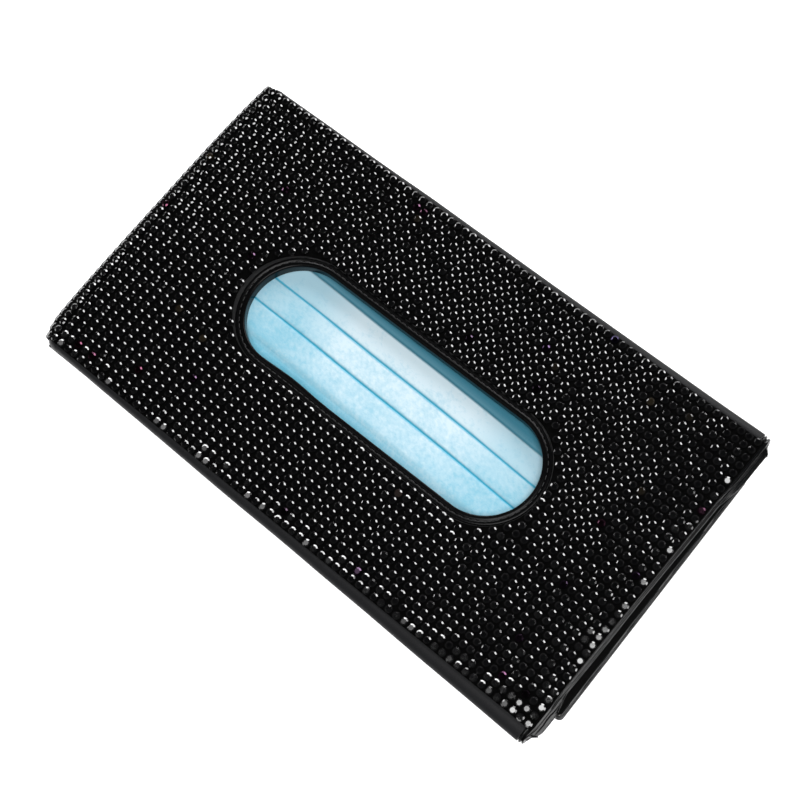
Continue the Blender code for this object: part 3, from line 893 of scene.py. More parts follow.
def build_bed():
    """The thin sheet that carries the stones, cut out round the window and bent round the spine."""
    reach = WINDOW_HALF + RIM_WIDTH + CLEAR
    columns = round((BED_END - BED_START) / BED_CELL)
    rows = round((SHEET_HIGH.y - SHEET_LOW.y) / BED_CELL)
    bm = bmesh.new()
    grid = []
    for x in spread(BED_START, BED_END, columns):
        line = []
        for y in spread(SHEET_LOW.y, SHEET_HIGH.y, rows):
            line.append(bm.verts.new((x, y, BED_FOOT)))
        grid.append(line)
    for line, next_line in zip(grid, grid[1:]):
        for i in range(rows):
            corners = (line[i], next_line[i], next_line[i + 1], line[i + 1])
            middle = sum((vert.co for vert in corners), Vector()) / 4
            if past_rim(middle.x, middle.y) > 0.0:
                bm.faces.new(corners)
    bmesh.ops.delete(bm, geom=[vert for vert in bm.verts if not vert.link_faces], context="VERTS")
    for vert in bm.verts:
        if vert.is_boundary and past_rim(vert.co.x, vert.co.y) < 2 * BED_CELL:
            centre_x = min(max(vert.co.x, X_MIDDLE - WINDOW_RUN), X_MIDDLE + WINDOW_RUN)
            out = Vector((vert.co.x - centre_x, vert.co.y, 0.0)).normalized()
            vert.co.x = centre_x + out.x * reach
            vert.co.y = out.y * reach
    made = bmesh.ops.extrude_face_region(bm, geom=bm.faces[:])
    for item in made["geom"]:
        if isinstance(item, bmesh.types.BMVert):
            item.co.z = STONE_SEAT + cushion(X_SPINE - item.co.x, item.co.y)
    for vert in bm.verts:
        vert.co = round_spine(*vert.co)
    bed = add_piece("stone_bed", ease(close_mesh("stone_bed", bm)), STONE_BED)
    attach(bed, "case")
    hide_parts("stone_sheet")


ROLL_TOP = 3.0 * MM          # radii of the roll's outer corners, and the corners' centres
ROLL_BOTTOM = 2.6 * MM
ROLL_TOP_CENTRE = (HALF_WIDTH - ROLL_TOP, ROLL_HIGH.z - ROLL_TOP)
ROLL_BOTTOM_CENTRE = (HALF_WIDTH - ROLL_BOTTOM, ROLL_LOW.z + ROLL_BOTTOM)
NEAR_SWELL = (0.50, 1.75)    # mm that a roll is wider at mid-length, and that it gains to the mouth
FAR_SWELL = (0.60, 0.95)


def roll_section():
    """A rolled edge seen from the mouth, as (outwards, height), with each point's rubbed wear and painted sheen,
    most on the outer top arc that the light catches.
    """
    points = [(HALF_INSIDE, ROLL_LOW.z), (HALF_INSIDE + 1.0 * MM, ROLL_LOW.z)]
    points += arc(ROLL_BOTTOM_CENTRE, ROLL_BOTTOM, -90.0, 0.0, 10)
    points += arc(ROLL_TOP_CENTRE, ROLL_TOP, 0.0, 90.0, 14)
    points += [(HALF_INSIDE + 0.9 * MM, ROLL_HIGH.z), (HALF_INSIDE, ROLL_HIGH.z)]
    points += [(HALF_INSIDE, height) for height in spread(ROLL_HIGH.z, ROLL_LOW.z, 4)[1:-1]]
    wear_and_sheen = []
    for outwards, height in points:
        past = (outwards - ROLL_TOP_CENTRE[0], height - ROLL_TOP_CENTRE[1])
        wear_and_sheen.append(min(1.0, math.hypot(*past) / ROLL_TOP) if min(past) > 0.0 else 0.15)
    return points, wear_and_sheen


def roll_swell(x, side):
    """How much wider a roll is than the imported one: both are fuller towards the mouth."""
    at_middle, gain = NEAR_SWELL if side < 0 else FAR_SWELL
    return (at_middle + gain * (x / X_MOUTH)) * MM


def build_rolls():
    """The two rolled long edges: a little uneven, and bent round the spine at the closed end."""
    section, wear_and_sheen = roll_section()
    straight = spread(BINDING_LOW.x - CLEAR, X_SPINE, 110)
    for name, side in (("near", -1), ("far", 1)):
        rings = []
        for x in straight:
            push = wave(x, 11 + side, 0.22 * MM, 150.0 * MM) + roll_swell(x, side)
            lift = wave(x, 31 + side, 0.12 * MM, 90.0 * MM)
            ring = []
            for outwards, height in section:
                share = (outwards - HALF_INSIDE) / ROLL_WIDTH
                upper = (height - ROLL_LOW.z) / (ROLL_HIGH.z - ROLL_LOW.z)
                y = side * (outwards + push * share)
                ring.append(Vector((x, y, height + (lift - 0.06 * MM) * share * upper)))
            rings.append(ring)
        for angle in spread(0.0, math.pi / 2, 16)[1:]:
            ring = []
            for outwards, height in section:
                radius = max(SPINE_RADIUS + height - SKIN_TOP, 0.05 * MM)
                share = (outwards - HALF_INSIDE) / ROLL_WIDTH
                x = X_SPINE - radius * math.sin(angle)
                y = side * (outwards + roll_swell(X_SPINE, side) * share)
                ring.append(Vector((x, y, Z_SPINE + radius * math.cos(angle))))
            rings.append(ring)
        mesh = loft(f"{name}_roll", rings, rubbed=wear_and_sheen)
        # The far roll gets the darker copy, as painted shade.
        skin = EDGE_LEATHER if side < 0 else FAR_SHADED_LEATHER
        roll = add_piece(f"{name}_roll", ease(mesh), skin)
        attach(roll, "case")
        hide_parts(f"{name}_edge_roll")


def binding_path():
    """The binding's way round the mouth: (outer, inner) points, each as (y, height)."""
    inner_top = ROLL_HIGH.z - BINDING_DEPTH
    half = []
    for y, height in arc(ROLL_BOTTOM_CENTRE, ROLL_BOTTOM, -90.0, 0.0, 8):
        half.append(((y, height), (HALF_INSIDE, min(height, inner_top))))
    for y, height in arc(ROLL_TOP_CENTRE, ROLL_TOP, 0.0, 90.0, 12):
        half.append(((y, height), (HALF_INSIDE, inner_top)))
    flat = spread(ROLL_TOP_CENTRE[0] - 1.5 * MM, 0.0, 46)
    for y in flat:
        half.append(((y, ROLL_HIGH.z), (min(y, HALF_INSIDE - 0.4 * MM), inner_top)))
    turned = [((-outer[0], outer[1]), (-inner[0], inner[1])) for outer, inner in half[-2::-1]]
    return half + turned


FLARE = 1.9 * MM


def corner_flare(y):
    """How far the bound edge stands out near the mouth's corners; it turns in again at the near one."""
    far_share = rise(y, 37.0 * MM, 10.0 * MM)
    near_share = rise(-y, 45.0 * MM, 8.0 * MM) * (1.0 - rise(-y, 60.0 * MM, 4.5 * MM) ** 2)
    return FLARE * far_share + FLARE * near_share


BINDING_DEPTH = 3.1 * MM     # of the bound edge, from its top to its underside


def binding_nose():
    """The bound edge's nose seen from its end, as (out towards the mouth, depth below its top).

    It has a rounded bead at the top, a seam, a second bead, and a step out to a flatter ply.
    """
    first_bead = [(0.0, 0.40), (0.15, 0.32), (0.28, 0.13), (0.45, 0.01), (0.65, -0.03), (0.85, 0.04)]
    seam = [(0.98, 0.18), (1.08, 0.46), (1.22, 0.60), (1.36, 0.44), (1.46, 0.24)]
    second_bead = [(1.62, 0.13), (1.80, 0.14), (1.95, 0.26), (2.05, 0.48), (2.07, 0.74), (2.02, 1.05)]
    step = [(1.90, 1.30), (1.70, 1.48), (1.72, 1.72), (2.10, 1.80), (2.60, 1.86), (2.90, 1.94)]
    ply = [(3.02, 2.12), (3.04, 2.35), (2.96, 2.66), (2.74, 2.90), (2.3, 3.04), (1.7, 3.1), (0.0, 3.1)]
    outline = first_bead + seam + second_bead + step + ply
    return [(x * MM, depth * MM) for x, depth in outline]


def build_binding():
    """The bound edge of the front panel at the mouth, which goes down both corners as a plain leg."""
    bead = 2.1 * MM
    deep = BINDING_HIGH.x - BINDING_LOW.x
    nose = binding_nose()
    # Rubbed wear and a painted sheen on the bead tops, where light catches them.
    wear_and_sheen = [0.9 if depth < 0.3 * MM else 0.0 for _, depth in nose]
    rings = []
    for outer, inner in binding_path():
        outer_point = Vector((0.0, outer[0], outer[1]))
        way = Vector((0.0, inner[0], inner[1])) - outer_point
        share = way.length / BINDING_DEPTH
        unit = way.normalized()
        shift = wave(outer[0], 5, 0.16 * MM, 140.0 * MM)
        swell = roll_swell(X_MOUTH, 1 if outer[0] > 0 else -1)
        swell *= max(abs(outer[0]) - HALF_INSIDE, 0.0) / ROLL_WIDTH
        outer_point.y += math.copysign(swell, outer[0])
        leg = rise(abs(outer[0]), HALF_WIDTH - ROLL_TOP, ROLL_TOP)
        flare = corner_flare(outer[0]) * (1.0 - 0.5 * leg)
        ring = []
        for x, depth in nose:
            point = outer_point + unit * depth * share
            x += leg * (min(x, bead) - x) + flare * rise(x, 1.2 * MM, 1.8 * MM)
            ring.append(Vector((BINDING_LOW.x + x + shift * x / deep, point.y, point.z)))
        rings.append(ring)
    mesh = loft("bound_mouth", rings, rubbed=wear_and_sheen)
    binding = add_piece("bound_mouth", mesh, BINDING_LEATHER)
    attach(binding, "case")
    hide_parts("mouth_binding")


STITCH_LINE = 2.0 * MM       # the rim's seam, from the window's edge
RIM_BULGE = 0.65 * MM        # the rim's near side is pushed into the window by this
RIM_BULGE_AT = -32.0 * MM
RIM_BULGE_RUN = 10.0 * MM


def build_rim():
    """The bound rim: a wall through the plies, and a soft flange with a seam pressed into it."""
    foot = ROOF_LOW.z
    flange = RIM_HIGH.z - 0.9 * MM
    top = RIM_HIGH.z
    wall = 1.2 * MM
    seam = [(1.30, 0.02), (1.62, -0.04), (1.84, -0.20), (2.0, -0.25), (2.16, -0.20), (2.40, -0.02)]
    seam.append((2.75, 0.04))
    section = [(0.0, foot), (0.0, (foot + top) / 2)]
    section += arc((0.75 * MM, top - 0.70 * MM), 0.75 * MM, 180.0, 90.0, 8)
    section += [(x * MM, top + lift * MM) for x, lift in seam]
    section += arc((RIM_WIDTH - 0.5 * MM, top - 0.5 * MM), 0.5 * MM, 80.0, 0.0, 6)
    section += [(RIM_WIDTH, flange), (wall, flange), (wall, foot)]
    # Rubbed wear and a painted sheen on the rim, all but along the seam's groove, which stays darker.
    wear_and_sheen = [0.7 if abs(offset - STITCH_LINE) > 0.3 * MM else 0.0 for offset, _ in section]
    rings = []
    for point, out in slot_points(0.0, 56):
        bulge = wave(math.atan2(point.y, point.x - X_MIDDLE), 17, 0.10 * MM, math.tau)
        if point.y < 0.0:
            bulge -= RIM_BULGE * math.exp(-(((point.x - RIM_BULGE_AT) / RIM_BULGE_RUN) ** 2))
        ring = []
        for offset, height in section:
            share = offset / RIM_WIDTH
            ring.append(point + out * (offset + bulge * (1 - share)) + Vector((0.0, 0.0, height)))
        rings.append(ring)
    mesh = loft("bound_rim", rings, path_closed=True, rubbed=wear_and_sheen)
    rim = add_piece("bound_rim", mesh, RIM_LEATHER)
    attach(rim, "case")
    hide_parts("window_rim")


SKIN_PLY = 0.8 * MM
GUSSET_SPREAD = 1.479        # how far the gussets go outwards for each unit of height
MOUTH_RISE = 3.3 * MM        # their lower edges rise by this from the crease to the mouth


def build_spine():
    """The rounded spine under the stones, narrowed below to fit between the gussets."""
    wall = 1.2 * MM
    rings = []
    for angle_deg in spread(90.0, 270.0, 48):
        angle = math.radians(angle_deg)
        away = Vector((math.cos(angle), 0.0, math.sin(angle)))
        axis = Vector((X_SPINE, 0.0, Z_SPINE))
        ring = []
        for radius in (SPINE_RADIUS, SPINE_RADIUS - wall):
            height = Z_SPINE + radius * math.sin(angle) - BACK_HIGH.z
            between = HALF_BACK + 0.13 * MM + height * GUSSET_SPREAD
            half = min(max(between, HALF_BACK), SPINE_HIGH.y)
            line = []
            for y in spread(-half, half, 40):
                dent = wave(y + angle * 0.01, 23, 0.08 * MM, 120.0 * MM)
                line.append(axis + away * (radius + min(dent, 0.0)) + Vector((0.0, y, 0.0)))
            ring += line if radius == SPINE_RADIUS else reversed(line)
        rings.append(ring)
    spine = add_piece("spine_cover", ease(loft("spine_cover", rings)), LEATHER)
    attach(spine, "case")
    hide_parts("spine")


def gusset_points(lowest, count):
    """A gusset's inner face seen from the mouth, cut off at a height, as even steps down it."""
    top = ROLL_LOW.z - CLEAR
    shoulder = HALF_INSIDE + SKIN_PLY
    foot = HALF_BACK + CLEAR + 0.9 * MM
    bend = 0.22 * MM
    line = [(shoulder + 2.7 * MM, top), (shoulder + 0.5 * MM, top), (shoulder - 0.35 * MM, top - bend)]
    line += [(foot + 0.4 * MM, BACK_HIGH.z + bend), (foot - 0.3 * MM, BACK_HIGH.z)]
    line.append((foot - 0.9 * MM, BACK_HIGH.z))
    kept = [line[0]]
    for (y0, z0), (y1, z1) in zip(line, line[1:]):
        if z1 < lowest:
            share = (z0 - lowest) / (z0 - z1) if z0 > lowest else 0.0
            kept.append((y0 + (y1 - y0) * share, z0 + (z1 - z0) * share))
            break
        kept.append((y1, z1))
    lengths = [math.dist(a, b) for a, b in zip(kept, kept[1:])]
    total = sum(lengths)
    points = []
    for i in range(count + 1):
        goal = total * i / count
        for (a, b), length in zip(zip(kept, kept[1:]), lengths):
            if goal <= length or (a, b) == (kept[-2], kept[-1]):
                share = min(goal / length, 1.0) if length else 0.0
                points.append((a[0] + (b[0] - a[0]) * share, a[1] + (b[1] - a[1]) * share))
                break
            goal -= length
    return points


def build_gussets():
    """Soft side walls from the rolled edges in to the back panel, slightly slack between them."""
    steps = 18
    end = BINDING_LOW.x - CLEAR
    places = spread(X_SPINE - SPINE_RADIUS + 0.35 * MM, X_SPINE, 14)
    places += spread(X_SPINE, CREASE.x - CLEAR, 90)[1:]
    places += spread(CREASE.x - CLEAR, end, 24)[1:]
    for name, side in (("near", -1), ("far", 1)):
        rings = []
        for x in places:
            if x < X_SPINE:
                below = math.sqrt(max(SPINE_RADIUS ** 2 - (X_SPINE - x) ** 2, 0.0))
                lowest = min(Z_SPINE - below + SKIN_PLY, ROLL_LOW.z - CLEAR - 0.1 * MM)
            elif x > CREASE.x:
                share = (x - CREASE.x) / (end - CREASE.x)
                lowest = BACK_HIGH.z + SKIN_PLY * 0.6 + MOUTH_RISE * share
            else:
                lowest = 0.0
            line = gusset_points(lowest, steps)
            inner = []
            outer = []
            for i, (y, z) in enumerate(line):
                before = line[max(i - 1, 0)]
                after = line[min(i + 1, steps)]
                way = Vector((after[0] - before[0], after[1] - before[1])).normalized()
                out = Vector((-way.y, way.x))
                slack = math.sin(math.pi * i / steps) ** 2
                slack *= 0.18 * MM + wave(x + z * 3.0, 41 + side, 0.22 * MM, 60.0 * MM)
                base = Vector((y, z)) + out * slack
                inner.append(Vector((x, side * base.x, base.y)))
                skin = base + out * SKIN_PLY
                outer.append(Vector((x, side * skin.x, skin.y)))
            rings.append(inner + outer[::-1])
        mesh = loft(f"{name}_side_cloth", rings)
        cloth = add_piece(f"{name}_side_cloth", ease(mesh), LEATHER)
        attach(cloth, "case")
        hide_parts(f"{name}_gusset")


LIP_NEAR = LIP_LOW.y
LIP_FAR = LIP_HIGH.y
LIP_TILT = math.asin(5.6 / 45.0)     # it rises 5.6 mm along 45 mm
LIP_DROOP = 3.5 * MM
LIP_LENGTH = X_MOUTH - CREASE.x
LIP_WIDTH = LIP_FAR - LIP_NEAR


def lip_end(y):
    """How long the lip is at a place across it, from the crease, before it droops and tilts."""
    fall = LIP_DROOP / LIP_LENGTH * math.sin(LIP_TILT)
    near = (LIP_LENGTH + 4.0 * MM) / (math.cos(LIP_TILT) + fall)
    far = (LIP_LENGTH + 2.2 * MM) / math.cos(LIP_TILT)
    return near + (far - near) * (y - LIP_NEAR) / LIP_WIDTH


def on_lip(along, y, height):
    """Carry a place of the flat lip to where it lies: drooping at its near corner, tilted up."""
    height -= LIP_DROOP * (LIP_FAR - y) / LIP_WIDTH * along / LIP_LENGTH
    x = along * math.cos(LIP_TILT) - height * math.sin(LIP_TILT)
    z = along * math.sin(LIP_TILT) + height * math.cos(LIP_TILT)
    return Vector((CREASE.x + x, y, CREASE.z + z))


def ply_ring(low, high, near, far):
    """A flat ply's section seen from the mouth, (y, height), with its side edges rounded."""
    mid = (low + high) / 2
    edge = (high - low) / 2
    ring = arc((near + edge, mid), edge, 270.0, 90.0, 6)
    ring += [(y, high) for y in spread(near + edge, far - edge, 48)[1:-1]]
    ring += arc((far - edge, mid), edge, 90.0, -90.0, 6)
    ring += [(y, low) for y in spread(far - edge, near + edge, 48)[1:-1]]
    return ring


def hinged_ply(name, low, high, start, side_inset, end_inset, look, seed):
    """One ply that runs on from the back panel into the lip, and bends at the crease."""
    turn = 3.0 * MM
    places = spread(start, CREASE.x - turn, 70)
    places += spread(CREASE.x - turn, CREASE.x + turn, 24)[1:]
    rings = []
    for x in places:
        share = soften(rise(x, CREASE.x - turn, 2 * turn))
        near = (1 - share) * -HALF_BACK + share * LIP_NEAR + side_inset
        far = (1 - share) * HALF_BACK + share * LIP_FAR - side_inset
        ring = []
        for y, height in ply_ring(low, high, near, far):
            if x > CREASE.x:
                ring.append(on_lip(x - CREASE.x, y, height))
            else:
                lift = wave(x + y * 0.4, seed, 0.10 * MM, 160.0 * MM)
                fade = min((CREASE.x - x) / (8 * MM), 1.0) * min((x - start) / (8 * MM), 1.0)
                ring.append(Vector((x, y, CREASE.z + height + max(lift, 0.0) * fade)))
        rings.append(ring)
    corner = 1.8 * MM
    mid = (low + high) / 2
    span = lip_end(0.0) - end_inset - turn
    shares = spread(0.0, 1.0 - corner / span, 22)[1:]
    shares += [1.0 - corner / span * (1.0 - math.sin(a)) for a in spread(0.0, math.pi / 2, 8)[1:]]
    for share in shares:
        past = max(share * span - (span - corner), 0.0)
        inset = corner - math.sqrt(max(corner ** 2 - past ** 2, 0.0)) + side_inset
        ring = []
        for y, height in ply_ring(low, high, LIP_NEAR + inset, LIP_FAR - inset):
            last = lip_end(y) - end_inset
            along = turn + (last - turn) * share
            if share == shares[-1]:
                height = mid + (height - mid) * 0.5
            ring.append(on_lip(along, y, height))
        rings.append(ring)
    return add_piece(name, ease(loft(name, rings)), look)


def build_back():
    """The back panel's outer skin and the pocket's lining, which both run on into the lip."""
    skin = hinged_ply("back_cover", 0.0, SKIN_PLY, BACK_LOW.x, 0.0, 0.0, LEATHER, 51)
    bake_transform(skin)
    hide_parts("back_skin", "lip_skin")
    low = FLOOR_LOW.z - BACK_LOW.z
    high = low + 0.5 * MM
    # The lining is painted near black, as shade in the gap at the mouth.
    lining = hinged_ply(
        "pocket_lining", low, high, FLOOR_LOW.x, 1.0 * MM, 0.75 * MM, BLACK_LINING_AND_SHADE, 53
    )
    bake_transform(lining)
    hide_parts("back_lining", "lip_lining")


HEM_INSET = 0.25 * MM
HEM_CORNER = 2.6 * MM
HEM_START = 4.0 * MM         # from the crease


def hem_section():
    """The turned edge seen from its end, as (inwards, height): three soft steps between two seams."""
    low, high = SKIN_PLY + 0.1 * MM, 2.3 * MM
    wide = 2.4 * MM
    section = [(wide, low), (0.35 * MM, low), (0.08 * MM, low + 0.15 * MM), (0.0, low + 0.35 * MM)]
    first_step = [(0.0, -0.80), (0.10, -0.58), (0.32, -0.44), (0.58, -0.40), (0.72, -0.58)]
    second_step = [(0.86, -0.36), (1.12, -0.24), (1.38, -0.20), (1.54, -0.38)]
    third_step = [(1.70, -0.14), (1.95, -0.04), (2.20, 0.0), (2.4, -0.12)]
    steps = first_step + second_step + third_step
    return section + [(inwards * MM, high + drop * MM) for inwards, drop in steps]


def hem_corner(edge, side):
    """Places round one corner of the hem, from the lip's side edge to its end, with the way in."""
    places = []
    for angle in spread(0.0, math.pi / 2, 5)[1:-1]:
        along = lip_end(edge) - HEM_INSET - HEM_CORNER * (1 - math.sin(angle))
        y = edge + side * (HEM_INSET + HEM_CORNER * (1 - math.cos(angle)))
        places.append((along, y, -math.sin(angle), side * math.cos(angle)))
    return places


def build_lip_hem():
    """The turned edge between the lip's skin and lining, round its three free sides."""
    section = hem_section()
    set_back = HEM_INSET + HEM_CORNER
    near_side = spread(HEM_START, lip_end(LIP_NEAR) - set_back, 30)
    far_side = spread(lip_end(LIP_FAR) - set_back, HEM_START, 30)
    path = [(along, LIP_NEAR + HEM_INSET, 0.0, 1.0) for along in near_side]
    path += hem_corner(LIP_NEAR, 1)
    for y in spread(LIP_NEAR + set_back, LIP_FAR - set_back, 60):
        path.append((lip_end(y) - HEM_INSET, y, -1.0, 0.0))
    path += hem_corner(LIP_FAR, -1)[::-1]
    path += [(along, LIP_FAR - HEM_INSET, 0.0, -1.0) for along in far_side]
    rings = []
    for along, y, way_x, way_y in path:
        ring = []
        for inwards, height in section:
            ring.append(on_lip(along + way_x * inwards, y + way_y * inwards, height))
        rings.append(ring)
    # Rubbed wear and a painted sheen on the hem's outer steps near its edge, where light catches them.
    wear_and_sheen = [0.9 if inwards < 1.3 * MM else 0.0 for inwards, _ in section]
    mesh = loft("lip_hem", rings, rubbed=wear_and_sheen)
    hem = add_piece("lip_hem", mesh, BINDING_LEATHER)
    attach(hem, "lip")


STRAPS = ("spine_strap", "mouth_strap")
STRAP_RIBS = 24
RIB_DEPTH = 0.07 * MM


def sewn_flat(to_end):
    """How much thinner a strap is pressed near its sewn ends."""
    if to_end <= 0.6 * MM:
        return 0.30 * MM
    return 0.16 * MM * (1.0 - min(to_end / (7.0 * MM), 1.0))


def build_straps():
    """The two elastic straps: ribbed webbing, pressed thinner where its ends are sewn down."""
    for name in STRAPS:
        low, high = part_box(name)
        rings = []
        for y in spread(low.y, high.y, 90):
            pressed = sewn_flat(min(y - low.y, high.y - y))
            draw = wave(y, 61, 0.18 * MM, 90.0 * MM)
            half = (high.x - low.x) / 2
            middle = (high.x + low.x) / 2 + draw
            under = []
            over = []
            for i in range(STRAP_RIBS * 4 + 1):
                share = i / (STRAP_RIBS * 4)
                x = middle - half + 2 * half * share
                rib = RIB_DEPTH * abs(math.sin(math.pi * share * STRAP_RIBS))
                edge = 0.25 * MM * max(0.0, 1.0 - min(share, 1 - share) * 60.0)
                under.append(Vector((x, y, low.z + pressed + edge + RIB_DEPTH - rib)))
                over.append(Vector((x, y, high.z - edge * 0.6)))
            rings.append(under + over[::-1])
        mesh = loft(f"{name}_webbing", rings)
        strap = add_piece(f"{name}_webbing", mesh, ELASTIC, 60.0)
        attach(strap, "case")
        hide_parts(name)


PLY = 0.28 * MM              # thickness of a mask's pressed cloth
PLY_STEP = PLY + 0.05 * MM   # from one layer of a pleat to the next
PLY_SEAT = PLY / 2 + 0.03 * MM
PLEATS = 3
PLEAT_FOLD = 9.5 * MM        # how far each pleat goes back under itself
PLEAT_EDGE = 16.3 * MM       # the first pleat's edge, from the mask's middle line
PLEAT_STEP = 10.4 * MM
MASK_HALF = 47.5 * MM


def pleat_fall(last):
    """How a pleat's top comes down on the next one: (share of the pitch, share of the drop, painted crease shade).
    """
    flat = [(0.07, 0.0, 0.0), (0.3, 0.01, 0.0), (0.6, 0.01, 0.0), (0.86, 0.02, 0.0)]
    if last:
        return flat + [(0.95, 0.12, 0.0), (1.05, 0.6, 0.0), (1.15, 1.0, 0.0)]
    return flat + [(0.90, 0.10, 0.2), (0.94, 0.6, 0.9), (0.985, 1.0, 1.0)]


def pleat_line(edge, last):
    """One pleat seen from its end: in under its edge, back out on itself, round the edge and over."""
    back = edge - PLEAT_FOLD
    low = PLY_SEAT
    # The third value of each point is its painted crease shade.
    line = [(y, low, 1.0) for y in spread(edge - 1.0 * MM, back + PLY_STEP, 3)]
    for angle in (-30.0, 30.0):
        turn = math.radians(angle)
        y = back + PLY_STEP / 2 * (1 - math.cos(turn))
        line.append((y, low + PLY_STEP / 2 * (1 + math.sin(turn)), 1.0))
    line += [(y, low + PLY_STEP, 1.0) for y in spread(back + PLY_STEP, edge - PLY_STEP, 3)]
    for angle in (-60.0, -20.0, 20.0, 60.0):
        turn = math.radians(angle)
        y = edge - PLY_STEP / 2 * (1 - math.cos(turn))
        height = low + PLY_STEP * 1.5 + PLY_STEP / 2 * math.sin(turn)
        line.append((y, height, 1.0 if angle < 0 else 0.7))
    top = low + 2 * PLY_STEP
    for share, drop, shade in pleat_fall(last):
        line.append((edge - PLEAT_STEP * share, top - 2 * PLY_STEP * drop, shade))
    return line


def mask_line():
    """A pleated mask's cloth seen from its end: (y, height, painted shade) down its middle."""
    # Beyond the first pleat the lower ply gets painted shade, as it lies in the rim's shadow.
    line = [(y, PLY_SEAT, 0.85) for y in spread(MASK_HALF, PLEAT_EDGE + 3.0 * MM, 8)]
    line += [(PLEAT_EDGE + 1.0 * MM, PLY_SEAT, 0.7), (PLEAT_EDGE, PLY_SEAT, 0.9)]
    for i in range(PLEATS):
        line += pleat_line(PLEAT_EDGE - i * PLEAT_STEP, i == PLEATS - 1)
    end = PLEAT_EDGE - PLEATS * PLEAT_STEP
    line += [(y, PLY_SEAT, 0.0) for y in spread(end - 3.0 * MM, -MASK_HALF, 14)]
    return line


def mask_mesh(name, stations, low, x_low, x_high, slack, seed):
    """One folded mask between two places along the case, standing on a height."""
    line = mask_line()
    last = len(line) - 1
    outs = []
    for i in range(len(line)):
        before = line[max(i - 1, 0)]
        after = line[min(i + 1, last)]
        way = Vector((after[0] - before[0], after[1] - before[1])).normalized()
        outs.append(Vector((-way.y, way.x)))
    there_and_back = [(i, 1) for i in range(last + 1)] + [(i, -1) for i in range(last, -1, -1)]
    rings = []
    for x in spread(x_low, x_high, stations):
        to_end = min(x - x_low, x_high - x)
        pressed = 1.0 - 0.22 * max(0.0, 1.0 - to_end / (6.0 * MM))
        ring = []
        for i, face in there_and_back:
            y, height, _ = line[i]
            out = outs[i]
            sway = wave(x + y * 0.2, seed, slack * 3.0, 170.0 * MM)
            lift = wave(x * 1.3 + y * 0.9, seed + 3, slack, 75.0 * MM)
            z = (height + out.y * face * PLY / 2) * pressed + max(lift, 0.0)
            ring.append(Vector((x, y + out.x * face * PLY / 2 + sway, low + z)))
        rings.append(ring)
    # Each point's painted shade is marked on the mask's mesh for the fleece's colour.
    fold_shades = [shade for _, _, shade in line]
    return loft(name, rings, sheet_ends=True, fold=fold_shades + fold_shades[::-1])


def build_masks():
    """The pack of folded masks; the top one is looser and lies a little turned."""
    low_x, high_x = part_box("mask_2")[0].x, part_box("mask_2")[1].x
    for i, node in enumerate(("mask_1", "mask_2", "mask_3", "mask_4")):
        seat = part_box(node)[0].z
        top = i == 0
        stations, slack = (90, 0.14 * MM) if top else (30, 0.04 * MM)
        mesh = mask_mesh(f"folded_{node}", stations, seat, low_x, high_x, slack, 71 + i)
        if top:
            middle = Vector(((low_x + high_x) / 2, 0.0, 0.0))
            spin = Matrix.Rotation(math.radians(-1.4), 4, "Z")
            mesh.transform(Matrix.Translation(middle) @ spin @ Matrix.Translation(-middle))
        mask = add_piece(f"folded_{node}", mesh, FLEECE, 70.0)
        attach(mask, "mask_pack")
        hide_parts(node)


def cut_stitch(length, thickness):
    """One stitch along X: a short fat thread that dips at both ends."""
    rings = []
    for share, size, dip in ((-0.5, 0.45, 0.6), (-0.3, 0.95, 0.1), (0.3, 0.95, 0.1), (0.5, 0.45, 0.6)):
        ring = []
        for i in range(6):
            angle = math.pi * i / 3
            y = math.cos(angle) * size * thickness / 2
            z = math.sin(angle) * size * thickness / 2 - dip * thickness
            ring.append((length * share, y, z))
        rings.append(ring)
    return loft("stitch", rings)


def stitch_tree(net, entry):
    """Stitches laid at an even pitch along the strands of a path object."""
    given = {socket.name: Wire(net, socket) for socket in entry.outputs if socket.name}
    strands = net.node("GeometryNodeObjectInfo", None, {0: given["Path"]})
    curve = net.node("GeometryNodeMeshToCurve", None, {0: strands.outputs["Geometry"]})
    even = net.node(
        "GeometryNodeResampleCurve",
        {"mode": "LENGTH"},
        {"Curve": curve.outputs[0], "Length": given["Pitch"]},
    )
    tangent = net.out("GeometryNodeInputTangent")
    axes = {"axis": "X", "pivot_axis": "Z"}
    turn = net.out("FunctionNodeAlignRotationToVector", axes, {"Vector": tangent})
    stitch = net.node("GeometryNodeObjectInfo", None, {0: given["Stitch"]})
    placed = net.node(
        "GeometryNodeInstanceOnPoints",
        None,
        {"Points": even.outputs[0], "Instance": stitch.outputs["Geometry"], "Rotation": turn},
    )
    return placed.outputs[0]


def sew(name, strands, pitch, thickness, body, upside_down=False):
    """A run of stitches along strands of points, riding on a body."""
    bm = bmesh.new()
    for strand in strands:
        verts = [bm.verts.new(point) for point in strand]
        for a, b in zip(verts, verts[1:]):
            bm.edges.new((a, b))
    path_mesh = bpy.data.meshes.new("stitch_path")
    bm.to_mesh(path_mesh)
    bm.free()
    path = add_object("stitch_path", path_mesh)
    mesh = cut_stitch(pitch * 0.8, thickness)
    if upside_down:
        mesh.transform(Matrix.Rotation(math.pi, 4, "X"))
    stitch = add_object("stitch", mesh)
    values = {"Path": path, "Stitch": stitch, "Pitch": pitch}
    mesh = run_tree(name, stitch_tree, values, THREAD)
    bpy.data.objects.remove(path)
    bpy.data.objects.remove(stitch)
    run = add_object(name, mesh)
    mesh.shade_smooth()
    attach(run, body)


def sew_rim():
    """The seam that runs all round the rim, pressed into its flange."""
    height = Vector((0.0, 0.0, RIM_HIGH.z - 0.22 * MM))
    loop = [point + out * STITCH_LINE + height for point, out in slot_points(0.0, 56)]
    sew("rim_stitches", [loop + loop[:1]], 2.6 * MM, 0.34 * MM, "case")


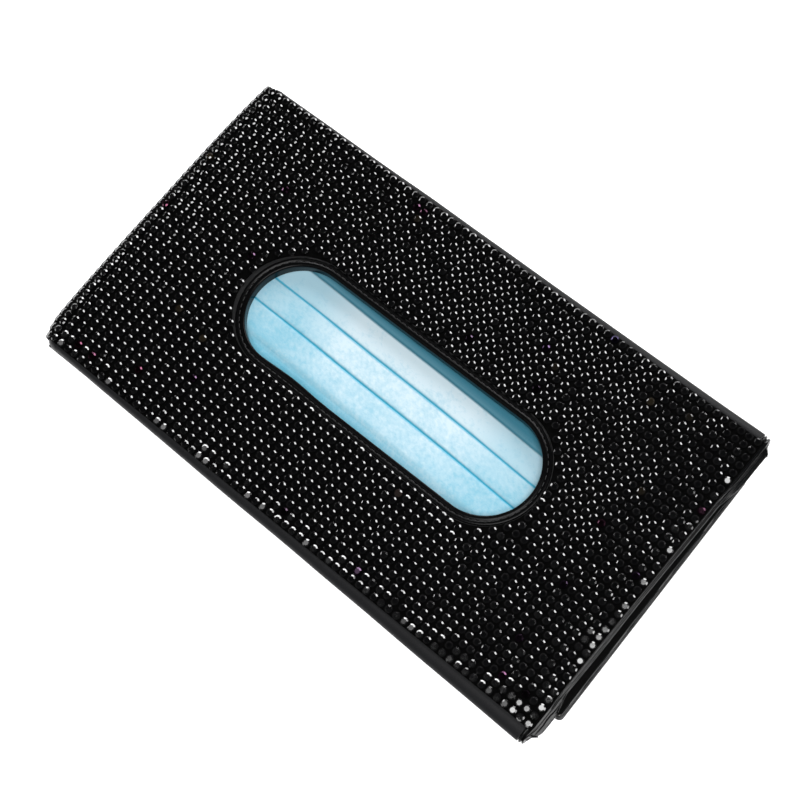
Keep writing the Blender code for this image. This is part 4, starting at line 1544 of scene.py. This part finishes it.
def sew_back():
    """The seams along the back panel's two long sides and its closed end."""
    z = BACK_LOW.z
    start = BACK_LOW.x + 3.0 * MM
    along = spread(start, CREASE.x - 2.0 * MM, 60)
    strands = []
    for side in (-1, 1):
        strands.append([Vector((x, side * (HALF_BACK - 1.6 * MM), z)) for x in along])
    half = HALF_BACK - 2.5 * MM
    strands.append([Vector((start, y, z)) for y in spread(-half, half, 40)])
    sew("back_stitches", strands, 2.8 * MM, 0.36 * MM, "case", upside_down=True)


def sew_straps():
    """A crossed box of stitches at each end of both straps."""
    height = 0.20 * MM
    strands = []
    for name in STRAPS:
        low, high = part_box(name)
        left, right = low.x + 2.0 * MM, high.x - 2.0 * MM
        for end, way in ((low.y, 1.0), (high.y, -1.0)):
            outer, inner = end + way * 1.4 * MM, end + way * 6.5 * MM
            box = [(left, outer), (right, outer), (right, inner), (left, inner), (left, outer)]
            strands.append([Vector((x, y, height)) for x, y in box + [(right, inner)]])
            strands.append([Vector((x, y, height)) for x, y in ((left, inner), (right, outer))])
    sew("strap_stitches", strands, 2.2 * MM, 0.36 * MM, "case", upside_down=True)


def sew_lip():
    """The seam round the lip's three free sides."""
    inset = 3.2 * MM
    near_side = spread(HEM_START, lip_end(LIP_NEAR) - inset, 20)
    far_side = spread(lip_end(LIP_FAR) - inset, HEM_START, 20)
    across = spread(LIP_NEAR + inset, LIP_FAR - inset, 40)[1:]
    strand = [on_lip(along, LIP_NEAR + inset, 0.0) for along in near_side]
    strand += [on_lip(lip_end(y) - inset, y, 0.0) for y in across]
    strand += [on_lip(along, LIP_FAR - inset, 0.0) for along in far_side[1:]]
    sew("lip_stitches", [strand], 2.8 * MM, 0.36 * MM, "lip", upside_down=True)


CAMERA_PLACE = (0.2207, -0.1166, 0.6714)
CAMERA_FORWARD = (-0.3095, 0.1642, -0.9366)
CAMERA_RIGHT = (0.7541, 0.6424, -0.1366)
SENSOR = 36.0
FOCAL_SHARE = 2.5            # focal length, of the picture's width


def build_camera():
    """The camera at the photograph's viewing angle."""
    forward = Vector(CAMERA_FORWARD).normalized()
    right = Vector(CAMERA_RIGHT)
    right = (right - forward * right.dot(forward)).normalized()
    up = right.cross(forward)
    data = bpy.data.cameras.new("camera")
    data.sensor_width = SENSOR
    data.sensor_fit = "HORIZONTAL"
    data.lens = SENSOR * FOCAL_SHARE
    data.clip_start = 0.01
    camera = add_object("camera", data)
    turn = Matrix((right, up, -forward)).transposed().to_4x4()
    camera.matrix_world = Matrix.Translation(CAMERA_PLACE) @ turn
    bpy.context.scene.camera = camera


def floor_finish():
    """Pale and matte, and white to the camera and to mirrors."""

    def build(net):
        rays = net.node("ShaderNodeLightPath")
        camera, glossy, through = [
            Wire(net, rays.outputs[f"Is {kind} Ray"]) for kind in ("Camera", "Glossy", "Transmission")
        ]
        return {"Emission Strength": (camera + glossy + through) * 0.8}

    fixed = {"Base Color": grey(0.82), "Roughness": 0.9, "Specular IOR Level": 0.1}
    fixed["Emission Color"] = grey(1.0)
    return finish("pale_floor", fixed, build)


def build_floor():
    """A wide pale floor that the case lies on, which keeps the case's shadow."""
    bm = bmesh.new()
    bmesh.ops.create_grid(bm, x_segments=1, y_segments=1, size=4.0)
    mesh = bpy.data.meshes.new("floor")
    bm.to_mesh(mesh)
    bm.free()
    floor = add_object("floor", mesh)
    floor.location.z = -0.05 * MM
    mesh.materials.append(floor_finish())


def add_lamp(name, azimuth, elevation, distance, width, height, radiance):
    """A soft lamp aimed at the case, given by the brightness of its face."""
    data = bpy.data.lights.new(name, "AREA")
    data.shape = "RECTANGLE"
    data.size = width
    data.size_y = height
    data.energy = radiance * math.pi * width * height
    lamp = add_object(name, data)
    across = math.cos(math.radians(elevation)) * distance
    lamp.location = (
        across * math.cos(math.radians(azimuth)),
        across * math.sin(math.radians(azimuth)),
        distance * math.sin(math.radians(elevation)),
    )
    lamp.rotation_euler = (-lamp.location).to_track_quat("-Z", "Y").to_euler()


# Name, azimuth and elevation in degrees, distance, width and height in metres, brightness
LAMPS = (
    ("top_box", -28.0, 70.0, 1.6, 1.05, 1.05, 6.2),
    ("near_box", 221.0, 64.0, 1.6, 0.45, 0.45, 1.5),
    ("key_box", 90.0, 24.0, 1.2, 0.74, 0.55, 7.2),
    ("row_box", 128.0, 20.5, 1.2, 0.46, 0.24, 10.0),
    ("side_box", 177.0, 6.0, 1.2, 0.36, 0.28, 7.0),
    ("edge_box", 10.0, 20.0, 1.2, 0.60, 0.12, 5.0),
)


def build_light():
    """Soft studio light: a dim ceiling that gets paler down to the horizon, and six soft boxes."""
    world = bpy.data.worlds.new("studio")
    bpy.context.scene.world = world
    world.use_nodes = True
    net = Net(world.node_tree)
    back = world.node_tree.nodes["Background"]
    x, y, z = net.split(net.out("ShaderNodeTexCoord", output="Generated"))
    low = (1.0 - z.most(0.0)).most(0.0)
    shade = net.blend_colours(low * low, grey(0.012), grey(0.11))
    world.node_tree.links.new(shade.socket, back.inputs["Color"])
    for lamp in LAMPS:
        add_lamp(*lamp)


FINISHES = {
    "stones": STONES,
    "leather_cloth": LEATHER,
    "board": BOARD,
    "lining": BLACK_LINING_AND_SHADE,
    "magnet": NICKEL,
    "elastic": ELASTIC,
    "fleece": FLEECE,
}


def dress_solids():
    """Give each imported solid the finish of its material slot."""
    for entry in frame["record"]["subparts"]:
        node = frame["nodes"][entry["node"]]
        node.data.materials.clear()
        node.data.materials.append(FINISHES[entry["material_slot"]])


bpy.context.scene.view_settings.view_transform = "Standard"
build_camera()
build_light()
build_floor()
dress_solids()
build_stones()
build_bed()
build_rolls()
build_binding()
build_rim()
build_spine()
build_gussets()
build_back()
build_lip_hem()
build_straps()
build_masks()
sew_rim()
sew_back()
sew_straps()
sew_lip()
